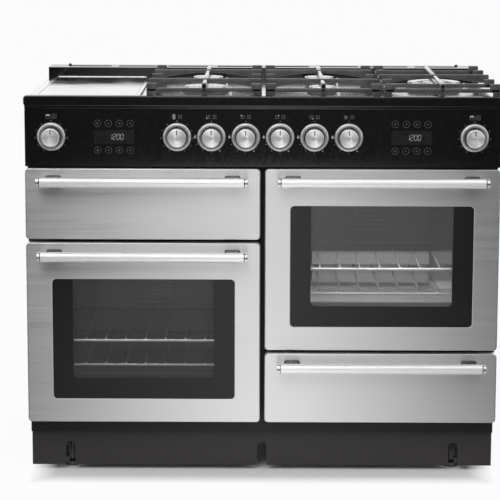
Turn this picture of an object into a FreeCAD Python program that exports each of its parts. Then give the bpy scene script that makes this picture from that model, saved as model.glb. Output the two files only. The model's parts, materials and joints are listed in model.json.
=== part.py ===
import FreeCAD, Part
import math
import os
import re
import Sketcher

# Free-standing dual fuel range cooker, 110 cm wide, with two drop-down ovens, a glide-out grill
# and a storage drawer. Millimetres, +Z up, +X to the right of someone facing it, front towards -Y.
# The origin is on the floor under the middle of the overall box, handles included.

doc = FreeCAD.newDocument("range_cooker")
sheet = doc.addObject("Spreadsheet::Sheet", "Sizes")

DRIVING_SIZES = {
    # overall
    "overall_width": 1100, "body_depth": 600, "handle_reach": 50,
    # fronts
    "column_edge": 1, "column_gap": 10, "front_bottom": 134, "door_height": 428,
    "drawer_height": 166, "front_gap": 8, "front_depth": 22, "front_corner": 9, "skin_sheet": 2,
    # door window and glass
    "window_margin": 60, "window_lift": 56, "window_top": 86, "window_corner": 9,
    "glass_thick": 4, "glass_overlap": 12, "inner_frame_inset": 22, "inner_frame_depth": 18,
    "sight_margin": 46, "sight_lift": 111, "sight_top": 77,
    "rebate": 11, "rebate_depth": 6, "glass_play": 0.5,
    # door hinge
    "hinge_setback": 12, "hinge_lift": 12, "hinge_inset": 70, "pin_radius": 4, "pin_play": 0.06,
    "hinge_plate": 6, "hinge_eye": 8, "lug_width": 8, "lug_side": 18, "side_play": 0.5,
    # front frame and chassis
    "seal_depth": 3.7, "seal_play": 0.3, "seal_width": 14, "frame_sheet": 3, "sheet_steel": 1.5,
    "base_top": 100, "base_sheet": 2, "back_inset": 18, "side_inset": 2, "side_flange": 12,
    "plinth_setback": 60, "plinth_floor_gap": 12, "foot_radius": 22, "foot_height": 10,
    "stem_radius": 7, "foot_inset_x": 93, "foot_inset_front": 110, "foot_inset_back": 60,
    "notch_radius": 11, "notch_height": 46,
    # ovens
    "cavity_margin": 52, "cavity_lift": 48, "cavity_top": 34, "oven_rear": 105,
    "baffle_side": 300, "baffle_depth": 34, "fan_radius": 90, "fan_hub": 16,
    "fan_plate": 2, "fan_blade": 16, "fan_gap": 6, "shaft_radius": 4, "motor_radius": 38,
    "motor_length": 60, "shaft_length": 25, "blade_root": 48, "blade_sheet": 2, "blade_count": 8,
    "intake_length": 90, "intake_height": 6, "intake_pitch": 12, "intake_count": 7, "outlet_height": 200,
    # shelves
    "shelf_rod": 3, "shelf_wire": 2, "shelf_edge": 11, "shelf_rear": 80,
    "shelf_low_lift": 122, "shelf_high_lift": 181, "shelf_front_gap": 14, "rung_rod": 3,
    "rung_play": 0.3, "ladder_front": 30, "ladder_rear": 100, "ladder_standoff": 4.5,
    "rung_inset": 5.5, "ladder_reach": 34, "ladder_overhang": 10, "shelf_wires": 9,
    # grill and drawers
    "mouth_margin": 19, "grill_lift": 13, "grill_rear": 95,
    "tray_margin": 33, "tray_height": 46, "tray_rear": 65, "tray_lift": 24, "tray_lip": 14,
    "rail_gap": 3, "rail_grip": 5, "rail_height": 12, "slide_play": 0.3, "element_rod": 4,
    "element_rear": 110, "element_runs": 6, "element_pitch": 52, "element_drop": 22,
    "box_margin": 28, "box_top": 34, "box_rear": 130, "box_lift": 20,
    # handles
    "bar_radius": 11, "bar_margin": 29, "bar_drop": 27, "cap_length": 9, "cap_proud": 0.8,
    "post_width": 34, "post_height": 20, "post_inset": 36, "post_bite": 5,
    # control panel
    "panel_gap": 5, "panel_height": 134, "panel_sheet": 3,
    "knob_height": 69, "knob_pitch": 79, "oven_knob_inset": 63, "knob_radius": 22.5,
    "knob_tip": 21.6, "knob_length": 24, "knob_lift_off": 1.5, "bezel_outer": 33,
    "bezel_top": 30.5, "bezel_inner": 26.5, "bezel_depth": 7, "spindle_radius": 4,
    "spindle_play": 0.06, "spindle_length": 30, "valve_side": 30, "valve_length": 36,
    "display_width": 94, "display_height": 33, "display_play": 0.3,
    "clock_width": 120, "clock_height": 90, "clock_depth": 22, "marker_width": 1.6,
    "marker_length": 9, "marker_depth": 0.6,
    # hob
    "trim_height": 30, "trim_front": 6, "trim_back": 12, "trim_corner": 7, "trim_lip": 6,
    "lip_back": 2, "hob_drop": 7, "riser_run": 77, "riser_height": 26,
    "vent_end": 40, "vent_rib": 19, "vent_width": 26, "vent_depth": 6, "vent_count": 8,
    "plate_width": 248, "plate_thick": 5, "plate_inset": 16, "plate_gap": 15, "plate_rear": 9,
    "plate_front": 14, "plate_corner": 22, "plate_rim": 9, "plate_sink": 1.5,
    "grate_gap": 9, "grate_edge": 1, "grate_front": 10, "grate_rear": 11,
    "grate_height": 34, "grate_bar": 11, "grate_bar_height": 9,
    "grate_block": 24, "grate_block_height": 20, "grate_rail_height": 9, "grate_foot": 16,
    "grate_rows": 5, "centre_bar_height": 13,
    "burner_base_height": 5, "burner_crown_height": 8, "burner_cap_height": 4,
    "rapid_radius": 50, "semi_radius": 37, "simmer_radius": 31, "rear_radius": 36,
    "wok_radius": 64, "crown_step": 4, "cap_step": 2, "port_width": 3, "port_depth": 4,
    "port_count": 20, "port_length": 9, "wok_eye": 42, "wok_core": 27,
    "spark_radius": 3, "spark_height": 13, "spark_gap": 5,
    # back
    "louvre_length": 90, "louvre_height": 6, "louvre_pitch": 16, "louvre_count": 8,
    "louvre_columns": 5, "inlet_radius": 10.48, "inlet_bore": 7,
    "inlet_inset": 80, "inlet_lift": 700, "inlet_flange": 20, "inlet_flange_thick": 5,
}

for row, (alias, value) in enumerate(DRIVING_SIZES.items(), start=1):
    sheet.set(f"A{row}", alias)
    sheet.set(f"B{row}", str(value))
    sheet.setAlias(f"B{row}", alias)
doc.recompute()


# Sizes that follow from the driving ones, as formulas.
DERIVED_SIZES = {
    "column_width": "(overall_width - 2 * column_edge - column_gap) / 2",
    "window_width": "column_width - 2 * window_margin",
    "window_height": "door_height - window_lift - window_top",
    "sight_width": "window_width - 2 * sight_margin",
    "sight_height": "door_height - sight_lift - sight_top",
    "frame_depth": "front_depth + inner_frame_depth + seal_play + seal_depth + frame_sheet",
    "inner_depth": "body_depth - back_inset - frame_depth",
    "cavity_width": "column_width - 2 * cavity_margin",
    "cavity_height": "door_height - cavity_lift - cavity_top",
    "cavity_depth": "inner_depth - oven_rear",
    "shelf_length": "cavity_depth - shelf_rear",
    "ladder_length": "cavity_depth - ladder_rear",
    "grill_width": "column_width - 2 * mouth_margin",
    "grill_height": "drawer_height - 2 * grill_lift",
    "grill_depth": "inner_depth - grill_rear",
    "tray_width": "grill_width - 2 * tray_margin",
    "tray_depth": "frame_depth + grill_depth - front_depth - tray_rear",
    "element_length": "grill_depth - element_rear",
    "box_width": "grill_width - 2 * box_margin",
    "box_height": "drawer_height - box_lift - box_top",
    "box_depth": "body_depth - back_inset - front_depth - box_rear",
    "bar_length": "column_width - 2 * bar_margin",
    "oven_knob_offset": "overall_width / 2 - oven_knob_inset",
    "clock_offset": "(oven_knob_offset + 2.5 * knob_pitch) / 2",
    "hob_width": "overall_width - 2 * side_inset",
    "hob_length": "body_depth - back_inset - riser_run - trim_back",
    "vent_pitch": "(hob_width - 2 * vent_end) / vent_count",
    "vent_length": "vent_pitch - vent_rib",
    "plate_length": "hob_length - plate_front - plate_rear",
    "grate_room": "hob_width - plate_inset - plate_width - plate_gap - grate_edge",
    "grate_width": "(grate_room - 2 * grate_gap) / 3",
    "grate_pitch": "grate_width + grate_gap",
    "grate_first": "plate_inset + plate_width + plate_gap + grate_width / 2 - hob_width / 2",
    "grate_length": "hob_length - grate_front - grate_rear",
    "grate_row_pitch": "(grate_length - grate_bar) / (grate_rows - 1)",
    "grate_row_first": "trim_back + grate_front + grate_bar / 2",
    "burner_front": "grate_row_first + grate_row_pitch",
    "burner_wok": "grate_row_first + 2 * grate_row_pitch",
    "burner_back": "grate_row_first + 3 * grate_row_pitch",
    "louvre_spacing": "hob_width / (louvre_columns + 1)",
    "inlet_side": "overall_width / 2 - inlet_inset",
}


def bind(text):
    """Turn a formula in plain size names into one that reads the sheet."""
    def source(word):
        name = word.group()
        return f"({bind(DERIVED_SIZES[name])})" if name in DERIVED_SIZES else "Sizes." + name
    return re.sub(r"[a-z][a-z0-9_]*", source, text)


def size(name):
    return float(sheet.get(name))


def measure(formula):
    """The number that a formula gives now, for the pieces that are drawn point by point."""
    probe = doc.addObject("Part::Vertex", "probe")
    probe.setExpression("X", bind(formula))
    probe.recompute()
    value = probe.X.Value
    doc.removeObject(probe.Name)
    return value


# Places that many pieces share, as formulas of the sizes.
FACE = "(-(body_depth - handle_reach) / 2)"
DOOR_BACK = "(front_depth + inner_frame_depth)"
FRAME_FRONT = f"({DOOR_BACK} + seal_play + seal_depth)"
FRAME_BACK = "frame_depth"
BACK = "(body_depth - back_inset)"
UPPER = "(front_bottom + door_height + front_gap)"
LOWER_RIGHT = "(front_bottom + drawer_height + front_gap)"
FRONT_TOP = f"({UPPER} + drawer_height)"
PANEL_BOTTOM = f"({FRONT_TOP} + panel_gap)"
PANEL_TOP = f"({PANEL_BOTTOM} + panel_height)"
TRIM_TOP = f"({PANEL_TOP} + trim_height)"
HOB_TOP = f"({TRIM_TOP} - hob_drop)"
KNOB_Z = f"({PANEL_BOTTOM} + knob_height)"
HALF = "(overall_width / 2)"
SIDE = f"({HALF} - side_inset)"
COLUMN = {"left": "(-(column_width + column_gap) / 2)", "right": "((column_width + column_gap) / 2)"}
DOOR_Z = {"left": "front_bottom", "right": LOWER_RIGHT}
AXES = {"x": FreeCAD.Vector(1, 0, 0), "y": FreeCAD.Vector(0, 1, 0), "z": FreeCAD.Vector(0, 0, 1)}
nodes = {}


def deep(distance):
    """The Y of a point this far behind the plane of the door faces."""
    return f"{FACE} + {distance}"


def place(piece, x, y, z):
    for axis, formula in zip("xyz", (x, y, z)):
        piece.setExpression(f".Placement.Base.{axis}", bind(formula))


def block(name, x, y, z, length, width, height):
    """A box from its lowest corner."""
    piece = doc.addObject("Part::Box", name)
    for side, formula in (("Length", length), ("Width", width), ("Height", height)):
        piece.setExpression(side, bind(formula))
    place(piece, x, y, z)
    return piece


def rod(name, axis, x, y, z, radius, length, tip=None):
    """A round bar from its end at x, y, z along an axis, tapered where a tip radius is given."""
    piece = doc.addObject("Part::Cone" if tip else "Part::Cylinder", name)
    piece.Placement = FreeCAD.Placement(
        FreeCAD.Vector(), FreeCAD.Rotation(AXES["z"], AXES[axis.lstrip("-")] * (-1 if "-" in axis else 1)))
    if tip:
        piece.setExpression("Radius1", bind(radius))
        piece.setExpression("Radius2", bind(tip))
    else:
        piece.setExpression("Radius", bind(radius))
    piece.setExpression("Height", bind(length))
    place(piece, x, y, z)
    return piece


def join(name, pieces):
    piece = doc.addObject("Part::MultiFuse", name)
    piece.Shapes = pieces
    return piece


def cut(name, base, tools):
    piece = doc.addObject("Part::Cut", name)
    piece.Base = base
    piece.Tool = tools[0] if len(tools) == 1 else join(name + "_cuts", tools)
    return piece


def group(name, pieces):
    """Separate solids of one kind, kept in one node."""
    piece = doc.addObject("Part::Compound", name)
    piece.Links = pieces
    return piece


def keep(name, piece):
    piece.Label = name
    nodes[name] = piece
    return piece


def origin_plane(body, role):
    return next(item for item in body.Origin.OriginFeatures if item.Role == role)


def new_sketch(body, name, role, lift=None):
    """A sketch on one of the body's own planes, moved along that plane's normal by lift."""
    sketch = body.newObject("Sketcher::SketchObject", name)
    sketch.AttachmentSupport = [(origin_plane(body, role), "")]
    sketch.MapMode = "FlatFace"
    if lift:
        sketch.setExpression(".AttachmentOffset.Base.z", bind(lift))
    return sketch


def tie(sketch, constraint, name, formula):
    index = sketch.addConstraint(constraint)
    sketch.renameConstraint(index, name)
    sketch.setExpression(f"Constraints.{name}", bind(formula))


def rectangle(sketch, x, y, width, height, radius, start=(10.0, 10.0, 100.0, 80.0, 4.0)):
    """A rectangle with its lower left corner at x, y and all four corners rounded."""
    left, low, wide, high, r = start
    right, top = left + wide, low + high
    spot = FreeCAD.Vector
    lines = [(left + r, low, right - r, low), (right, low + r, right, top - r),
             (right - r, top, left + r, top), (left, top - r, left, low + r)]
    centres = [(right - r, low + r), (right - r, top - r), (left + r, top - r), (left + r, low + r)]
    for x0, y0, x1, y1 in lines:
        sketch.addGeometry(Part.LineSegment(spot(x0, y0, 0), spot(x1, y1, 0)), False)
    for turn, (cx, cy) in enumerate(centres):
        circle = Part.Circle(spot(cx, cy, 0), spot(0, 0, 1), r)
        first = math.pi * (turn - 1) / 2
        sketch.addGeometry(Part.ArcOfCircle(circle, first, first + math.pi / 2), False)
    for side in range(4):
        arc = 4 + side
        following = (side + 1) % 4
        sketch.addConstraint(Sketcher.Constraint("Tangent", side, 2, arc, 1))
        sketch.addConstraint(Sketcher.Constraint("Tangent", arc, 2, following, 1))
    for side, kind in enumerate(("Horizontal", "Vertical", "Horizontal", "Vertical")):
        sketch.addConstraint(Sketcher.Constraint(kind, side))
    for arc in (5, 6, 7):
        sketch.addConstraint(Sketcher.Constraint("Equal", 4, arc))
    tie(sketch, Sketcher.Constraint("Radius", 4, r), "corner", radius)
    tie(sketch, Sketcher.Constraint("DistanceX", 3, 1, 1, 1, wide), "wide", width)
    tie(sketch, Sketcher.Constraint("DistanceY", 0, 1, 2, 1, high), "high", height)
    tie(sketch, Sketcher.Constraint("DistanceX", -1, 1, 3, 1, left), "aside", x)
    tie(sketch, Sketcher.Constraint("DistanceY", -1, 1, 0, 1, low), "up", y)


def circle(sketch, radius):
    sketch.addGeometry(Part.Circle(FreeCAD.Vector(), FreeCAD.Vector(0, 0, 1), 10.0), False)
    sketch.addConstraint(Sketcher.Constraint("Coincident", 0, 3, -1, 1))
    tie(sketch, Sketcher.Constraint("Radius", 0, 10.0), "round", radius)


def pad(body, sketch, length, reverse=False):
    feature = body.newObject("PartDesign::Pad", sketch.Name + "_pad")
    feature.Profile = sketch
    feature.setExpression("Length", bind(length))
    feature.Reversed = reverse
    return feature


def pocket(body, sketch, length):
    feature = body.newObject("PartDesign::Pocket", sketch.Name + "_pocket")
    feature.Profile = sketch
    feature.setExpression("Length", bind(length))
    return feature


def front_panel(name, height, x, z):
    """A cooker front: a panel with rounded corners, its face in the plane of the door faces."""
    body = doc.addObject("PartDesign::Body", name)
    outline = new_sketch(body, name + "_outline", "XZ_Plane")
    rectangle(outline, "0", "0", "column_width", height, "front_corner")
    pad(body, outline, "front_depth", reverse=True)
    place(body, f"{x} - column_width / 2", deep("0"), z)
    return body


def pressed_front(name, height, x, z):
    """A cooker front pressed from sheet, hollow from behind."""
    body = front_panel(name, height, x, z)
    hollow = new_sketch(body, name + "_hollow", "XZ_Plane", "-skin_sheet")
    rectangle(hollow, "skin_sheet", "skin_sheet", "column_width - 2 * skin_sheet",
              f"{height} - 2 * skin_sheet", "front_corner - skin_sheet")
    pocket(body, hollow, "front_depth")
    return body


def backing(name, height, x, z):
    """The sheet that closes the back of a front, short of its rounded top and with a slot below."""
    return block(name, f"{x} - column_width / 2 + skin_sheet", deep("(front_depth - skin_sheet)"),
                 f"{z} + inner_frame_inset", "column_width - 2 * skin_sheet", "skin_sheet",
                 f"{height} - inner_frame_inset - front_corner")


# Doors, drawers and their handles.

def handle(name, x, top):
    """A round bar with end caps on two posts, each post let into a flat milled in the bar."""
    axis_y = deep("(bar_radius + cap_proud - handle_reach)")
    axis_z = f"{top} - bar_drop"
    half = "(bar_length / 2)"
    posts = []
    sockets = []
    for side, sign in (("left", "-"), ("right", "+")):
        post_x = f"{x} {sign} ({half} - post_inset) - post_width / 2"
        reach = "(handle_reach - 2 * bar_radius - cap_proud + post_bite)"
        for label, pieces in (("post", posts), ("socket", sockets)):
            pieces.append(block(f"{name}_{side}_{label}", post_x, deep(f"(-{reach})"),
                                f"{axis_z} - post_height / 2", "post_width", reach, "post_height"))
    bar = rod(name + "_round", "x", f"{x} - {half} + cap_length", axis_y, axis_z, "bar_radius",
              "bar_length - 2 * cap_length")
    caps = [rod(f"{name}_cap_{end}", "x", start, axis_y, axis_z, "bar_radius + cap_proud", "cap_length")
            for end, start in (("left", f"{x} - {half}"), ("right", f"{x} + {half} - cap_length"))]
    keep(name, group(name, [cut(name + "_bar", bar, sockets)] + posts + caps))


def hinge_places(side):
    """The middle of each of a door's two hinges, along X."""
    inset = "(column_width / 2 - hinge_inset)"
    return {"outer": f"{COLUMN[side]} - {inset}", "inner": f"{COLUMN[side]} + {inset}"}


def door(side):
    """A drop-down oven door: skin, outer glass, inner frame and inner glass."""
    x, z = COLUMN[side], DOOR_Z[side]
    name = f"door_skin_{side}"
    tray = pressed_front(name + "_tray", "door_height", x, z)
    window = new_sketch(tray, name + "_window", "XZ_Plane")
    rectangle(window, "(column_width - window_width) / 2", "window_lift", "window_width",
              "window_height", "window_corner")
    pocket(tray, window, "front_depth")
    lugs = []
    cuts = []
    gap = "(hinge_plate / 2 + side_play)"
    for label, middle in hinge_places(side).items():
        for edge, start in (("a", f"{middle} - {gap} - lug_width"), ("b", f"{middle} + {gap}")):
            lugs.append(block(f"{name}_lug_{label}_{edge}", start, deep("skin_sheet"),
                              f"{z} + skin_sheet", "lug_width", "lug_side", "lug_side"))
        cuts.append(rod(f"{name}_bore_{label}", "x", f"{middle} - {gap} - 2 * lug_width",
                        deep("hinge_setback"), f"{z} + hinge_lift", "pin_radius + pin_play",
                        f"2 * {gap} + 4 * lug_width"))
        cuts.append(block(f"{name}_slot_{label}", f"{middle} - {gap}", deep("skin_sheet"),
                          f"{z} - skin_sheet", f"2 * {gap}", "front_depth", "2 * skin_sheet"))
    keep(name, cut(name, join(name + "_welded", [tray] + lugs), cuts))

    glass = doc.addObject("PartDesign::Body", f"door_glass_{side}")
    pane = new_sketch(glass, f"door_glass_{side}_outline", "XZ_Plane")
    rectangle(pane, "0", "0", "window_width + 2 * glass_overlap", "window_height + 2 * glass_overlap",
              "window_corner")
    pad(glass, pane, "glass_thick", reverse=True)
    place(glass, f"{x} - window_width / 2 - glass_overlap", deep("skin_sheet"),
          f"{z} + window_lift - glass_overlap")
    keep(f"door_glass_{side}", glass)

    name = f"door_inner_frame_{side}"
    plate = backing(name + "_plate", "door_height", x, z)
    ring = block(name + "_ring", f"{x} - column_width / 2 + inner_frame_inset", deep("front_depth"),
                 f"{z} + inner_frame_inset", "column_width - 2 * inner_frame_inset", "inner_frame_depth",
                 "door_height - 2 * inner_frame_inset")
    sight = block(name + "_sight", f"{x} - sight_width / 2", deep("0"), f"{z} + sight_lift",
                  "sight_width", f"2 * {DOOR_BACK}", "sight_height")
    step = block(name + "_rebate", f"{x} - sight_width / 2 - rebate", deep(f"({DOOR_BACK} - rebate_depth)"),
                 f"{z} + sight_lift - rebate", "sight_width + 2 * rebate", "2 * rebate_depth",
                 "sight_height + 2 * rebate")
    wall = "(rebate + sheet_steel)"
    guard = block(name + "_guard", f"{x} - sight_width / 2 - {wall}", deep("0"), f"{z} + sight_lift - {wall}",
                  f"sight_width + 2 * {wall}", f"2 * {DOOR_BACK}", f"sight_height + 2 * {wall}")
    edge = "(inner_frame_inset + sheet_steel)"
    dish = block(name + "_dish", f"{x} - column_width / 2 + {edge}", deep("0"), f"{z} + {edge}",
                 f"column_width - 2 * {edge}", f"{DOOR_BACK} - sheet_steel", f"door_height - 2 * {edge}")
    hollow = cut(name + "_hollow", dish, [guard])
    keep(name, cut(name, join(name + "_solid", [plate, ring]), [sight, step, hollow]))

    edge = "(rebate - glass_play)"
    keep(f"door_inner_glass_{side}", block(
        f"door_inner_glass_{side}", f"{x} - sight_width / 2 - {edge}", deep(f"({DOOR_BACK} - rebate_depth)"),
        f"{z} + sight_lift - {edge}", f"sight_width + 2 * {edge}", "glass_thick",
        f"sight_height + 2 * {edge}"))
    handle(f"door_handle_{side}", x, f"{z} + door_height")


def hinge_bracket(side, label, middle):
    """A plate from the front frame into the door, with the pin that the door turns on."""
    name = f"hinge_{side}_{label}"
    axis_y = deep("hinge_setback")
    axis_z = f"{DOOR_Z[side]} + hinge_lift"
    arm = block(name + "_arm", f"{middle} - hinge_plate / 2", axis_y, f"{axis_z} - hinge_eye", "hinge_plate",
                f"{FRAME_FRONT} - hinge_setback", "2 * hinge_eye")
    eye = rod(name + "_eye", "x", f"{middle} - hinge_plate / 2", axis_y, axis_z, "hinge_eye", "hinge_plate")
    half_pin = "(hinge_plate / 2 + side_play + lug_width)"
    pin = rod(name + "_pin", "x", f"{middle} - {half_pin}", axis_y, axis_z, "pin_radius", f"2 * {half_pin}")
    return join(name, [arm, eye, pin])


for side in COLUMN:
    door(side)
keep("door_hinges", group("door_hinges", [
    hinge_bracket(side, label, middle)
    for side in COLUMN for label, middle in hinge_places(side).items()]))


def open_tray(name, x, z, width, depth, height):
    """A folded steel tray, open on top, with a lip along each side that runs on a rail."""
    outer = block(name + "_outer", f"{x} - {width} / 2", deep("front_depth"), z, width, depth, height)
    lips = block(name + "_lips", f"{x} - {width} / 2 - tray_lip", deep("front_depth"),
                 f"{z} + {height} - sheet_steel", f"{width} + 2 * tray_lip", depth, "sheet_steel")
    inner = block(name + "_inner", f"{x} - {width} / 2 + sheet_steel", deep("front_depth + sheet_steel"),
                  f"{z} + sheet_steel", f"{width} - 2 * sheet_steel", f"{depth} - 2 * sheet_steel", height)
    keep(name, cut(name, join(name + "_blank", [outer, lips]), [inner]))


def rails(name, x, lip_bottom, tray_width, outer_half, length):
    """Two fixed rails just under a tray's lips."""
    inner_half = f"({tray_width} / 2 + rail_gap)"
    width = f"({outer_half} - {inner_half})"
    starts = {"left": f"{x} - {outer_half}", "right": f"{x} + {inner_half}"}
    return [block(f"{name}_{side}", start, deep(FRAME_BACK), f"{lip_bottom} - slide_play - rail_height",
                  width, length, "rail_height") for side, start in starts.items()]


TRAY_Z = f"({UPPER} + tray_lift)"
BOX_Z = "(front_bottom + box_lift)"
for name, x, z in (("grill_front", COLUMN["left"], UPPER), ("drawer_front", COLUMN["right"], "front_bottom")):
    keep(name, join(name, [pressed_front(name + "_skin", "drawer_height", x, z),
                           backing(name + "_backing", "drawer_height", x, z)]))
open_tray("grill_tray", COLUMN["left"], TRAY_Z, "tray_width", "tray_depth", "tray_height")
handle("grill_handle", COLUMN["left"], FRONT_TOP)
open_tray("drawer_box", COLUMN["right"], BOX_Z, "box_width", "box_depth", "box_height")
handle("drawer_handle", COLUMN["right"], "front_bottom + drawer_height")
keep("slide_rails", group("slide_rails", rails(
    "grill_rail", COLUMN["left"], f"{TRAY_Z} + tray_height - sheet_steel", "tray_width",
    "(grill_width / 2)", "grill_depth") + rails(
    "drawer_rail", COLUMN["right"], f"{BOX_Z} + box_height - sheet_steel", "box_width",
    "(grill_width / 2 + rail_grip)", f"{BACK} - {FRAME_BACK}")))


# Chassis.

def opening(name, x, z, width, height):
    return block(name, f"{x} - {width} / 2", deep(f"({FRAME_FRONT} - frame_sheet)"), z, width,
                 "3 * frame_sheet", height)


CAVITY_Z = {side: f"({z} + cavity_lift)" for side, z in DOOR_Z.items()}
frame_holes = [opening(f"oven_mouth_{side}", COLUMN[side], CAVITY_Z[side], "cavity_width", "cavity_height")
               for side in COLUMN]
frame_holes.append(opening("grill_mouth", COLUMN["left"], f"{UPPER} + grill_lift", "grill_width",
                           "grill_height"))
frame_holes.append(opening("drawer_mouth", COLUMN["right"], "front_bottom + grill_lift", "grill_width",
                           "grill_height"))
frame_plate = block("frame_plate", f"-{SIDE}", deep(FRAME_FRONT), "base_top", f"2 * {SIDE}", "frame_sheet",
                    f"{PANEL_BOTTOM} - base_top")
keep("front_frame", cut("front_frame", frame_plate, frame_holes))

side_panels = []
for side, start, hollow in (("left", f"-{SIDE}", f"-{SIDE} + sheet_steel"),
                            ("right", f"{SIDE} - side_flange", f"{SIDE} - 2 * side_flange - sheet_steel")):
    wall = block(f"side_{side}_blank", start, deep(FRAME_BACK), "base_top", "side_flange",
                 f"{BACK} - {FRAME_BACK}", f"{PANEL_TOP} - base_top")
    inside = block(f"side_{side}_inside", hollow, deep(f"({FRAME_BACK} + sheet_steel)"), "base_top",
                   "2 * side_flange", f"{BACK} - {FRAME_BACK} - 2 * sheet_steel", f"{PANEL_TOP} - base_top")
    side_panels.append(cut(f"side_{side}", wall, [inside]))
keep("side_panels", group("side_panels", side_panels))

back_plate = block("back_plate", f"-{SIDE}", deep(BACK), "base_top", f"2 * {SIDE}", "sheet_steel",
                   f"{PANEL_TOP} - base_top")
louvres = [block(f"louvre_{column}_{row}",
                 f"({column} - (louvre_columns - 1) / 2) * louvre_spacing - louvre_length / 2",
                 deep(f"({BACK} - sheet_steel)"), f"{PANEL_TOP} - (louvre_count - {row} + 2) * louvre_pitch",
                 "louvre_length", "3 * sheet_steel", "louvre_height")
           for column in range(int(size("louvre_columns"))) for row in range(int(size("louvre_count")))]
keep("back_panel", cut("back_panel", back_plate, louvres))

keep("base_pan", block("base_pan", f"-{SIDE}", deep(FRAME_FRONT), "base_top - base_sheet", f"2 * {SIDE}",
                       f"{BACK} + sheet_steel - {FRAME_FRONT}", "base_sheet"))
plinth_height = "base_top - base_sheet - plinth_floor_gap"
plinth = [block("plinth_face", f"-{SIDE}", deep("plinth_setback"), "plinth_floor_gap", f"2 * {SIDE}",
                "sheet_steel", plinth_height)]
for side, start in (("left", f"-{SIDE}"), ("right", f"{SIDE} - sheet_steel")):
    plinth.append(block(f"plinth_{side}", start, deep("plinth_setback"), "plinth_floor_gap", "sheet_steel",
                        f"{BACK} - plinth_setback", plinth_height))
notches = []
for label, x in (("left", f"foot_inset_x - {HALF}"), ("middle", "0"), ("right", f"{HALF} - foot_inset_x")):
    start = deep("(plinth_setback - sheet_steel)")
    notches.append(block(f"notch_{label}", f"{x} - notch_radius", start, "0", "2 * notch_radius",
                         "3 * sheet_steel", "plinth_floor_gap + notch_height"))
    notches.append(rod(f"notch_{label}_top", "y", x, start, "plinth_floor_gap + notch_height",
                       "notch_radius", "3 * sheet_steel"))
keep("plinth", cut("plinth", join("plinth_blank", plinth), notches))

feet = []
for row, y in (("front", deep("foot_inset_front")), ("back", deep(f"({BACK} - foot_inset_back)"))):
    for side, x in (("left", f"foot_inset_x - {HALF}"), ("right", f"{HALF} - foot_inset_x")):
        name = f"foot_{row}_{side}"
        disc = rod(name + "_disc", "z", x, y, "0", "foot_radius", "foot_height")
        stem = rod(name + "_stem", "z", x, y, "0", "stem_radius", "base_top - base_sheet")
        feet.append(join(name, [disc, stem]))
keep("levelling_feet", group("levelling_feet", feet))

inlet_x = "inlet_side"
inlet_y = deep(f"({BACK} + sheet_steel)")
inlet = join("inlet_blank", [
    rod("inlet_nipple", "y", inlet_x, inlet_y, "inlet_lift", "inlet_radius", "back_inset - sheet_steel"),
    rod("inlet_collar", "y", inlet_x, inlet_y, "inlet_lift", "inlet_flange", "inlet_flange_thick")])
keep("gas_inlet", cut("gas_inlet", inlet, [
    rod("inlet_hole", "y", inlet_x, inlet_y, "inlet_lift", "inlet_bore", "back_inset")]))


# Ovens and grill.

def liner(name, x, z, width, height, depth, holes=()):
    """A steel box, open at the front, welded behind its opening in the front frame."""
    outer = block(name + "_outer", f"{x} - {width} / 2 - sheet_steel", deep(FRAME_BACK), f"{z} - sheet_steel",
                  f"{width} + 2 * sheet_steel", f"{depth} + sheet_steel", f"{height} + 2 * sheet_steel")
    inner = block(name + "_inner", f"{x} - {width} / 2", deep(f"({FRAME_BACK} - sheet_steel)"), z, width,
                  f"{depth} + sheet_steel", height)
    keep(name, cut(name, outer, [inner] + list(holes)))


OVEN_BACK = f"({FRAME_BACK} + cavity_depth)"
FAN_Z = {side: f"({z} + cavity_height / 2)" for side, z in CAVITY_Z.items()}


def oven_fan(side):
    """A bladed disc on a shaft that runs in the back wall and the motor."""
    name = f"oven_fan_{side}"
    body = doc.addObject("PartDesign::Body", name)
    disc = new_sketch(body, name + "_disc", "XZ_Plane")
    circle(disc, "fan_radius")
    pad(body, disc, "fan_plate", reverse=True)
    hub = new_sketch(body, name + "_hub", "XZ_Plane")
    circle(hub, "fan_hub")
    pad(body, hub, "fan_blade")
    shaft = new_sketch(body, name + "_shaft", "XZ_Plane")
    circle(shaft, "shaft_radius")
    pad(body, shaft, "fan_plate + fan_gap + sheet_steel + shaft_length", reverse=True)
    blade = new_sketch(body, name + "_blade", "XZ_Plane")
    rectangle(blade, "blade_root", "0", "fan_radius - blade_root - blade_sheet", "blade_sheet",
              "blade_sheet / 4")
    first = pad(body, blade, "fan_blade")
    ring = body.newObject("PartDesign::PolarPattern", name + "_blades")
    ring.Originals = [first]
    ring.Axis = (origin_plane(body, "Y_Axis"), [""])
    ring.Angle = 360
    ring.setExpression("Occurrences", bind("blade_count"))
    body.Tip = ring
    place(body, COLUMN[side], deep(f"({OVEN_BACK} - fan_gap - fan_plate)"), FAN_Z[side])
    keep(name, body)


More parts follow.
